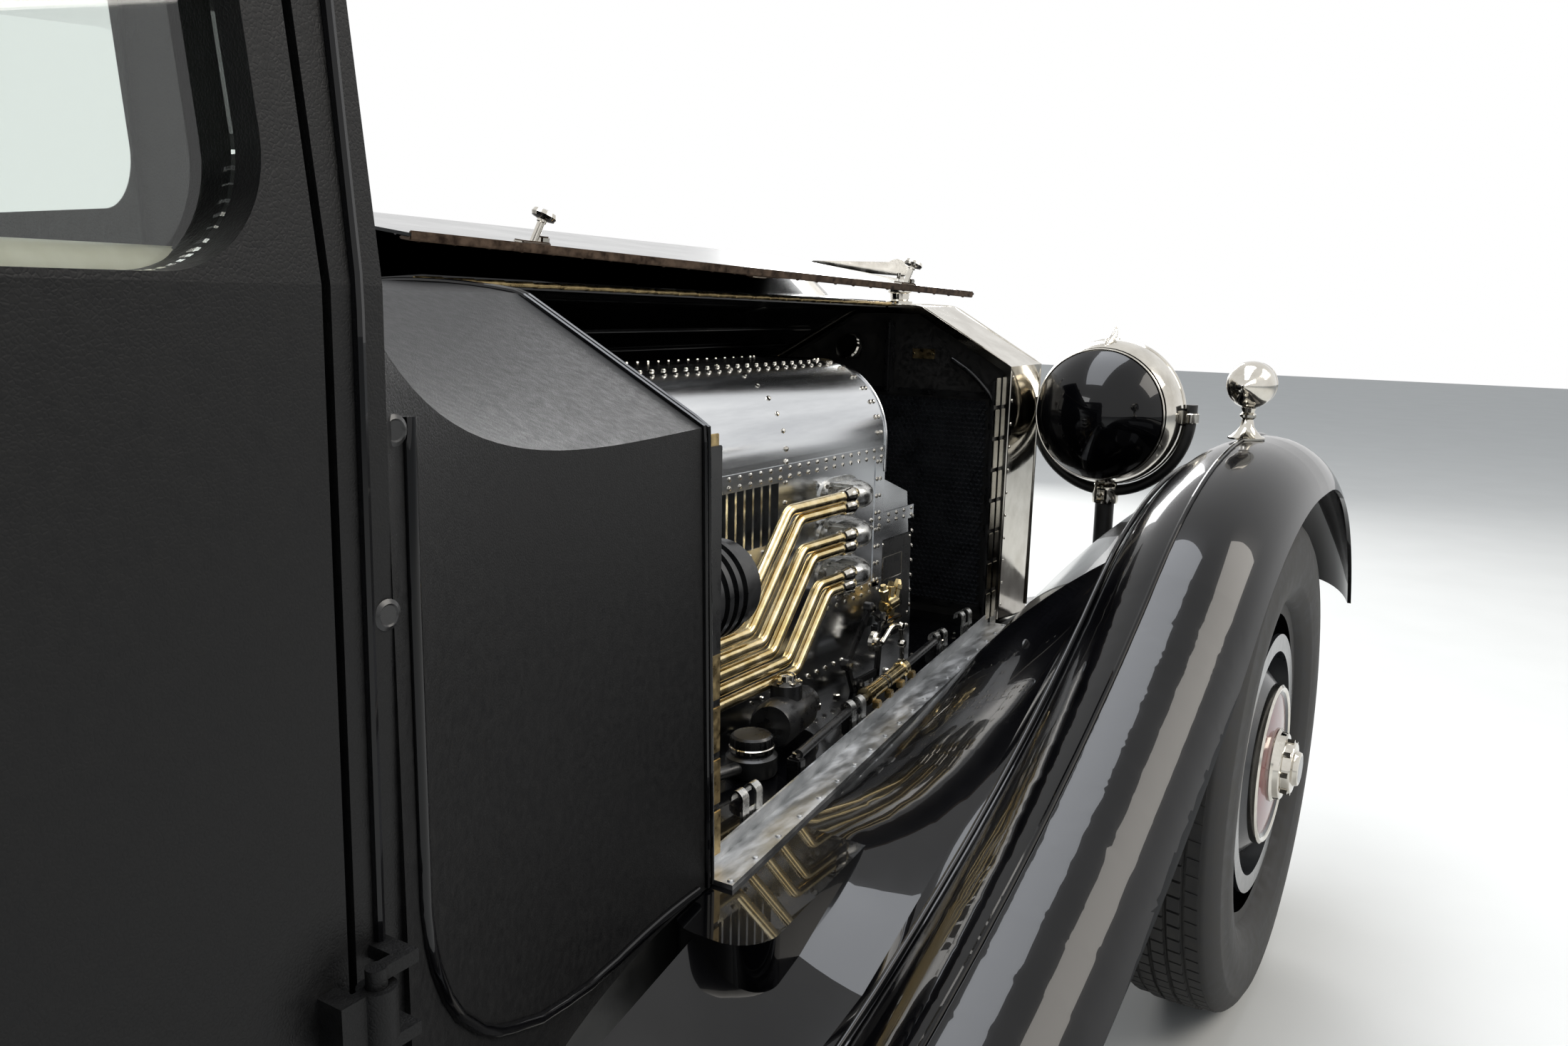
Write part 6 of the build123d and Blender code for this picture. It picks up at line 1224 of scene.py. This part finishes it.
def laidOn(surface, starts, way, lift=0.0):
    # where rays from these points first meet the surface, raised off it; way is a vector or a function
    found = []
    for start in starts:
        ray = Vector(way(start) if callable(way) else way).normalized()
        spot, normal, _, _ = surface.ray_cast(Vector(start), ray, 3000)
        if spot is not None:
            found.append(spot + (normal if normal.dot(ray) < 0 else -normal) * lift)
    return found


def between(a, b, count):
    return [Vector(a).lerp(Vector(b), i / (count - 1)) for i in range(count)]


trim = {
    "pipingRadius": 3.4, "scuttleRings": (862, 853), "ringMiddle": 900, "ringReach": 1300, "ringFoot": 602,
    "pillar": ((247, 560), (247, 1636)), "gutter": ((238, 1622), (-2050, 1622)), "gutterRadius": 5,
    # the raised panel line on the scuttle's side as (x, z)
    "panel": ((299, 1175), (296, 1080), (295, 966), (294, 881), (299, 854), (307, 832), (325, 799),
        (348, 768),
        (385, 731), (415, 707), (445, 689), (497, 661), (547, 643), (596, 629), (654, 620), (711, 616),
        (771, 612), (862, 605)),
    "buttons": ((278, 1170), (262, 1071)), "button": [(9, -0.5), (9, 1.2), (6.5, 2.6), (5.5, 1.8), (0, 1.8)],
    "plugs": ((1490, 747),), "plug": [(11, -1), (11, 1.5), (8, 3.2), (0, 3.6)],
}


def makeBodyTrim():
    scuttle, body = surfaceOf("scuttle"), surfaceOf("body_shell")
    shell = surfaceOf("body_shell", "roof", "scuttle")
    r, middle, reach = trim["pipingRadius"], trim["ringMiddle"], trim["ringReach"]

    def sideways(ends, count):
        return between(*((x, sign * farSide, z) for x, z in ends), count)

    bm = bmesh.new()
    for x in trim["scuttleRings"]:
        starts = [(x, reach * cos(radians(a)), middle + reach * sin(radians(a))) for a in range(-34, 215, 2)]
        ring = laidOn(scuttle, starts, lambda s: (0, -s[1], middle - s[2]), r * 0.35)
        swept(bm, [p for p in ring if p.z > trim["ringFoot"]], roundSection(r, 8))
    for sign in (-1, 1):
        inward = (0, -sign, 0)
        swept(bm, laidOn(shell, sideways(trim["pillar"], 60), inward, r * 0.3), roundSection(r, 8))
        corners = trim["panel"]
        path = [p for pair in zip(corners, corners[1:]) for p in sideways(pair, 4)[:-1]]
        swept(bm, laidOn(scuttle, path, inward, r * 0.4), roundSection(r * 1.5, 10))
        swept(bm, laidOn(body, sideways(trim["gutter"], 90), inward, 1.5),
            roundSection(trim["gutterRadius"], 8))
    finishPiece("bodyPiping", bm, ["black lacquer"])

    bm = bmesh.new()
    valances = surfaceOf("front_valances")
    rows = [(shell, trim["buttons"], trim["button"], 20), (valances, trim["plugs"], trim["plug"], 24)]
    for sign in (-1, 1):
        for surface, places, profile, sides in rows:
            for x, z in places:
                spot = laidOn(surface, [(x, sign * farSide, z)], (0, -sign, 0))[0]
                turned(bm, profile, spot, (0, sign, 0), sides)
    finishPiece("bodyButtons", bm, ["moulded black"])


wingTrim = {
    "y": 743, "middle": (1900, 443), "reach": 1500, "above": 1400, "lift": 1.8, "beadRadius": 3.4,
    # pressed flange and welt: where it rests on the valance and on the wing, and its ridge between them
    "valanceY": 632, "wingY": 653, "ridgeY": 642, "stations": range(300, 2370, 30), "flangeLift": 0.6,
    "flangeThick": 2, "weltRadius": 4, "weltIn": 6,
}


def makeWingBeads():
    s = wingTrim
    (x0, z0), reach, above, down = s["middle"], s["reach"], s["above"], (0, 0, -1)
    wings, valances = surfaceOf("front_wings"), surfaceOf("front_valances")
    bm = bmesh.new()
    for sign in (-1, 1):
        y = sign * s["y"]
        starts = [(x0 + reach * cos(radians(a)), y, z0 + reach * sin(radians(a))) for a in range(6, 104, 2)]
        bead = laidOn(wings, starts, lambda p: (x0 - p[0], 0, z0 - p[2]), s["lift"])
        x = bead[-1].x - 40
        bead += laidOn(wings, [(x - 40 * i, y, above) for i in range(60)], down, s["lift"])
        swept(bm, bead, roundSection(s["beadRadius"], 8))
    # pressed flange and welt that close the joint between each wing and its valance
    lift, under = Vector((0, 0, s["flangeLift"])), Vector((0, 0, -s["flangeThick"]))
    for sign in (-1, 1):
        rings, welt = [], []
        for x in s["stations"]:
            low = laidOn(valances, [(x, sign * s["valanceY"], above)], down)
            high = laidOn(wings, [(x, sign * s["wingY"], above)], down)
            if low and high:
                low, high = low[0] + lift, high[0] + lift
                ridge = max(low.z, high.z) * 0.6 + min(low.z, high.z) * 0.4 + 1
                line = (low, Vector((low.x, sign * s["ridgeY"], ridge)), high)
                rings.append([bm.verts.new(p + drop) for drop in (Vector(), under) for p in line])
                welt.append(high + Vector((0, -sign * s["weltIn"], 1)))
        for a, b in zip(rings, rings[1:]):
            for i, j in ((0, 1), (1, 2), (2, 5), (5, 4), (4, 3), (3, 0)):
                bm.faces.new((a[i], a[j], b[j], b[i]))
        swept(bm, welt, roundSection(s["weltRadius"], 10))
    finishPiece("wingBeads", bm, ["black lacquer"])


makeBodyTrim()
makeWingBeads()
print("trim laid")


# Doors: handles outside; card, rail and winder inside; each rides its own door

doorSet = {
    # ends of the door, place of its handle, and the way its lever points
    "front": {"x": (-533, 238), "handle": -492, "toward": 1},
    "rear": {"x": (-1131, -587), "handle": -628, "toward": -1},
    "handleZ": 1105, "handle": [(19, 0), (19, 2), (14, 5), (11, 8), (9, 26), (11, 29), (9, 34), (0, 36)],
    # the lever's points as (forward, outward, up)
    "lever": [(0, 29, 0), (30, 30, 2), (98, 25, -3)], "leverRadius": 7.5, "leverThin": 0.62,
    "railZ": 1240, "railLift": 10, "railInset": 22, "railRadius": 13,
    "winderZ": 900, "winder": [(24, 0), (24, 3), (9, 6), (7, 16), (0, 17)], "crank": (13, 6, 74),
    "knob": [(7, 0), (10, 6), (9, 22), (0, 25)],
    # trimmed card: height, inset from the door's ends, columns and rows of its mesh, pleats
    "cardZ": (640, 1205), "cardInset": 40, "columns": 90, "rows": 12, "cardLift": 3, "pad": 4,
    "pleat": 3.2, "pleatColumns": 6, "plain": 2.4, "hem": 3,
}


def makeDoorFittings(name, surface, door, sign):
    s = doorSet
    (x0, x1), toward, inset = door["x"], door["toward"], s["railInset"]
    outward, inward = (0, sign, 0), (0, -sign, 0)
    bm = bmesh.new()
    nickel, ivory = 0, 1
    spot = laidOn(surface, [(door["handle"], sign * farSide, s["handleZ"])], inward)[0]
    turned(bm, s["handle"], spot, outward, 28, nickel)
    lever = [spot + Vector((toward * forward, sign * out, up)) for forward, out, up in s["lever"]]
    section = [(x * s["leverThin"], y) for x, y in roundSection(s["leverRadius"], 12)]
    swept(bm, bent(lever, 14), section, index=nickel)
    rail = laidOn(surface, between((x0 + inset, 0, s["railZ"]), (x1 - inset, 0, s["railZ"]), 14), outward, 5)
    swept(bm, [p + Vector((0, 0, s["railLift"])) for p in rail], roundSection(s["railRadius"], 12),
        index=ivory)
    middle = laidOn(surface, [((x0 + x1) / 2, 0, s["winderZ"])], outward)[0]
    winder = middle + Vector((-toward * 40, -sign * 14, 110))
    turned(bm, s["winder"], winder, inward, 24, nickel)
    block(bm, winder + Vector((0, -sign * 17, -30)), s["crank"], 2.5, None, nickel)
    turned(bm, s["knob"], winder + Vector((0, -sign * 20, -60)), inward, 16, nickel)
    finishPiece(name + "_fittings", bm, ["buffed nickel", "ivory paint"], name)


def makeDoorCard(name, surface, door, sign):
    # a padded card with upright pleats, thinner at its edges
    s = doorSet
    (x0, x1), (z0, z1), inset = door["x"], s["cardZ"], s["cardInset"]
    columns, rows = s["columns"], s["rows"]
    bm = bmesh.new()
    grid = []
    for i in range(columns + 1):
        x = x0 + inset + (x1 - x0 - 2 * inset) * i / columns
        line = []
        for j in range(rows + 1):
            z = z0 + (z1 - z0) * j / rows
            edge = min(1.0, min(i, columns - i) / 4, min(j, rows - j))
            quilted = s["pleat"] * abs(sin(pi * i / s["pleatColumns"])) ** 0.6
            swell = quilted if 2 < j < rows - 2 else s["plain"]
            hit = laidOn(surface, [(x, 0, z)], (0, sign, 0), s["cardLift"] + edge * (s["pad"] + swell))
            line.append(bm.verts.new(hit[0]) if hit else None)
        grid.append(line)
    for a, b in zip(grid, grid[1:]):
        for j in range(rows):
            corners = [a[j], b[j], b[j + 1], a[j + 1]]
            if all(corners):
                bm.faces.new(corners if sign < 0 else corners[::-1])
    border = [e for e in bm.edges if e.is_boundary]
    rim = bmesh.ops.extrude_edge_only(bm, edges=border)["geom"]
    for v in [g for g in rim if isinstance(g, bmesh.types.BMVert)]:
        v.co.y += sign * s["hem"]
    finishPiece(name + "_card", bm, ["biscuit hide"], name, 60)


for doorRow in ("front", "rear"):
    for doorSide, outSign in (("right", -1), ("left", 1)):
        doorName = f"door_{doorRow}_{doorSide}"
        doorSurface = surfaceOf(doorName)
        makeDoorFittings(doorName, doorSurface, doorSet[doorRow], outSign)
        makeDoorCard(doorName, doorSurface, doorSet[doorRow], outSign)
print("doors dressed")


# Seats: pads inflated by a cloth simulation, then pleated; each stands on a trimmed plinth

padSet = {
    # in metres where Blender's own tools take them: voxel and cap
    "voxel": 0.012, "pressure": 4, "quality": 6, "frames": 20, "cap": 0.012,
    "round": 24, "pleat": 62, "pleatDepth": 5.5, "pleatWidth": 9, "border": 35, "plainEdge": 20,
    # plinths: low x, high x, low z, high z, then low y and high y, and on which sides
    "plinths": [((-700, -258, 612, 710), (74, 556), (-1, 1)), ((-1650, -1158, 612, 730), (-526, 526), (1,))],
}
# each pad's outline as (x, z), its width, the way it faces, and the names and sides of its copies
pads = {
    "front_seats": [
        (((-264, 724), (-264, 846), (-572, 822), (-588, 724)), (84, 546), (0, 0, 1),
            (("frontCushion", 1), ("frontCushionLeft", -1))),
        (((-590, 850), (-672, 1366), (-746, 1366), (-702, 850)), (84, 546), (1, 0, 0.16),
            (("frontBack", 1), ("frontBackLeft", -1)))],
    "rear_seat": [
        (((-1164, 744), (-1164, 866), (-1524, 842), (-1540, 744)), (-516, 516), (0, 0, 1),
            (("rearCushion", 1),)),
        (((-1540, 870), (-1622, 1386), (-1696, 1386), (-1652, 870)), (-516, 516), (1, 0, 0.16),
            (("rearBack", 1),))],
}


def inflated(mesh):
    holder, cloth = modified(mesh, "CLOTH", {})
    cloth.settings.use_pressure = True
    cloth.settings.uniform_pressure_force = padSet["pressure"]
    cloth.settings.effector_weights.gravity = 0
    cloth.settings.quality = padSet["quality"]
    cloth.point_cache.frame_start, cloth.point_cache.frame_end = 1, padSet["frames"]
    rest = [v.co.copy() for v in mesh.vertices]
    for step in range(1, padSet["frames"] + 1):
        bpy.context.scene.frame_set(step)
    result = takenMesh(holder)
    bpy.context.scene.frame_set(1)
    for v, home in zip(result.vertices, rest):
        shift = v.co - home
        if shift.length > padSet["cap"]:
            v.co = home + shift.normalized() * padSet["cap"]
    return result


def makePadMesh(outline, y0, y1):
    # the outline drawn out from y to y with rounded edges, then filled with air
    bm = bmesh.new()
    ends = [[bm.verts.new((x / 1000, y / 1000, z / 1000)) for x, z in outline] for y in (y0, y1)]
    bm.faces.new(ends[0])
    bm.faces.new(ends[1][::-1])
    for i in range(4):
        bm.faces.new((ends[0][i], ends[1][i], ends[1][(i + 1) % 4], ends[0][(i + 1) % 4]))
    bmesh.ops.recalc_face_normals(bm, faces=bm.faces)
    offset = padSet["round"] / 1000
    bmesh.ops.bevel(bm, geom=list(bm.edges), offset=offset, segments=3, profile=0.5, affect="EDGES")
    mesh = bpy.data.meshes.new("padStart")
    bm.to_mesh(mesh)
    bm.free()
    mesh = takenMesh(modified(mesh, "REMESH", {"mode": "VOXEL", "voxel_size": padSet["voxel"]})[0])
    mesh = inflated(mesh)
    return takenMesh(modified(mesh, "SUBSURF", {"levels": 1, "render_levels": 1})[0])


def pleated(mesh, y0, y1, facing):
    # presses even pleats into the side that faces this way, in place
    up = Vector(facing).normalized()
    middle, width = (y0 + y1) / 2, y1 - y0 - 2 * padSet["border"]
    count = round(width / padSet["pleat"])
    pitch = width / count
    plainFrom = (y1 - y0) / 2 - padSet["plainEdge"]
    normals = [v.normal.copy() for v in mesh.vertices]
    for v, normal in zip(mesh.vertices, normals):
        off = v.co.y * 1000 - middle
        across = off / pitch + (0.5 if count % 2 else 0.0)
        away = abs(across - round(across)) * pitch
        inside = max(0.0, min(1.0, (normal.dot(up) - 0.55) / 0.3)) * (abs(off) < plainFrom)
        fade = 2.718 ** (-(away / padSet["pleatWidth"]) ** 2)
        v.co -= normal * (padSet["pleatDepth"] / 1000) * inside * fade


def makeSeats():
    for node, rows in pads.items():
        for outline, (y0, y1), facing, copies in rows:
            mesh = makePadMesh(outline, y0, y1)
            pleated(mesh, y0, y1, facing)
            for name, side in copies:
                bm = bmesh.new()
                bm.from_mesh(mesh)
                for v in bm.verts:
                    v.co = Vector((v.co.x * 1000, v.co.y * 1000 * side, v.co.z * 1000))
                piece = finishPiece(name, bm, ["biscuit hide"], "car", 180)
                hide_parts(node)
    bm = bmesh.new()
    for bounds, (y0, y1), signs in padSet["plinths"]:
        for sign in signs:
            slab(bm, bounds, sign * (y0 + y1) / 2, y1 - y0, 10)
    piece = finishPiece("seatPlinths", bm, ["biscuit hide"])
    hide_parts("front_seats", "rear_seat")


makeSeats()
print("seats made")


# Cabin fittings: dials, needles and switches on the dashboard

cabin = {
    "dialX": 204.5, "dialY": (-130, 0.0, 130), "dialZ": 1160,
    "bezel": [(43, 0), (45, 3), (49, 4), (51, 1), (51, -2)], "face": [(43.5, 0.6), (0, 0.6)],
    "boss": [(5, 0), (4, 3), (0, 3.5)], "tickTurns": range(-30, 211, 30),
    # ticks and needles: how far before the dial, radius of the middle, size
    "tick": (0.9, 37, (0.8, 8, 1.8)), "needle": (1.8, 12, (0.8, 44, 2.2)), "needleTurns": (60, 110, 160),
    "switchX": 205, "switchY": (-215, -75, 75, 215, 300, 380), "switchZ": 1112,
    "switch": [(9, 0), (9, 2), (4, 5), (4, 12), (8, 15), (8, 21), (0, 24)],
}


def makeCabin():
    back = (-1, 0, 0)
    bm = bmesh.new()
    nickel, black, ivory = 0, 1, 2

    def hand(middle, kind, turn):
        before, radius, size = cabin[kind]
        a = radians(turn)
        spot = middle + Vector((-before, radius * cos(a), radius * sin(a)))
        block(bm, spot, size, 0.2, Matrix.Rotation(a, 4, "X"), black)

    for y, needleTurn in zip(cabin["dialY"], cabin["needleTurns"]):
        spot = Vector((cabin["dialX"], y, cabin["dialZ"]))
        turned(bm, cabin["bezel"], spot, back, 40, nickel)
        turned(bm, cabin["face"], spot, back, 40, ivory)
        for turn in cabin["tickTurns"]:
            hand(spot, "tick", turn)
        hand(spot, "needle", needleTurn)
        turned(bm, cabin["boss"], spot, back, 16, black)
    for y in cabin["switchY"]:
        turned(bm, cabin["switch"], (cabin["switchX"], y, cabin["switchZ"]), back, 18, nickel)
    finishPiece("instruments", bm, ["buffed nickel", "moulded black", "headlining wool"])


makeCabin()
print("cabin fitted")


# Ribs on the running boards, leather straps over the trunk and its lid, with their buckles

boardSet = {
    "x": (-1170, 250), "rows": (700, 718, 736, 754, 772, 790, 808, 826), "above": 900,
    "rib": [(a * 1.3, b * 0.7) for a, b in roundSection(3.6, 6)],
    "strapY": (-270, 270), "strap": [(16, -1.3), (16, 1.3), (-16, 1.3), (-16, -1.3)], "strapLift": 1.4,
    # each strap's body, the CAD node it lies on, and its runs: (x, z) to (x, z), count, way of the rays
    "straps": {
        "lidStraps": ("trunk_lid", "trunk_lid", [((-2232, 1400), (-2452, 1400), 12, (0, 0, -1)),
            ((-2690, 1150), (-2690, 1094), 5, (1, 0, 0))]),
        "trunkStraps": ("car", "trunk", [((-2690, 1084), (-2690, 780), 12, (1, 0, 0))])},
    # buckle: where its ray starts, then its four sides and tongue as across, up, wide, high
    "buckle": (-2690, 1010), "buckleLift": 3.5,
    "buckleBars": [(0, 15, 44, 5), (0, -15, 44, 5), (-20, 0, 5, 34), (20, 0, 5, 34), (0, 0, 4, 34)],
}


def makeBoards():
    boards, (x0, x1), above = surfaceOf("running_boards"), boardSet["x"], boardSet["above"]
    bm = bmesh.new()
    for sign in (-1, 1):
        for y in boardSet["rows"]:
            line = laidOn(boards, between((x0, sign * y, above), (x1, sign * y, above), 24), (0, 0, -1), 0.6)
            if len(line) > 2:
                swept(bm, line, boardSet["rib"])
    finishPiece("boardRibs", bm, ["tyre rubber"])


def makeStraps():
    leather, brass = 0, 1
    for name, (body, node, runs) in boardSet["straps"].items():
        surface = surfaceOf(node)
        bm = bmesh.new()
        for y in boardSet["strapY"]:
            path = []
            for (xa, za), (xb, zb), count, way in runs:
                path += laidOn(surface, between((xa, y, za), (xb, y, zb), count), way, boardSet["strapLift"])
            swept(bm, path, boardSet["strap"], index=leather)
            if body == "car":
                x, z = boardSet["buckle"]
                spot = laidOn(surface, [(x, y, z)], (1, 0, 0), boardSet["buckleLift"])[0]
                for dy, dz, wide, high in boardSet["buckleBars"]:
                    block(bm, spot + Vector((-1.5, dy, dz)), (4, wide, high), 1.4, None, brass)
        finishPiece(name, bm, ["saddle leather", "hinge brass"], body)


makeBoards()
makeStraps()
print("boards and straps made")
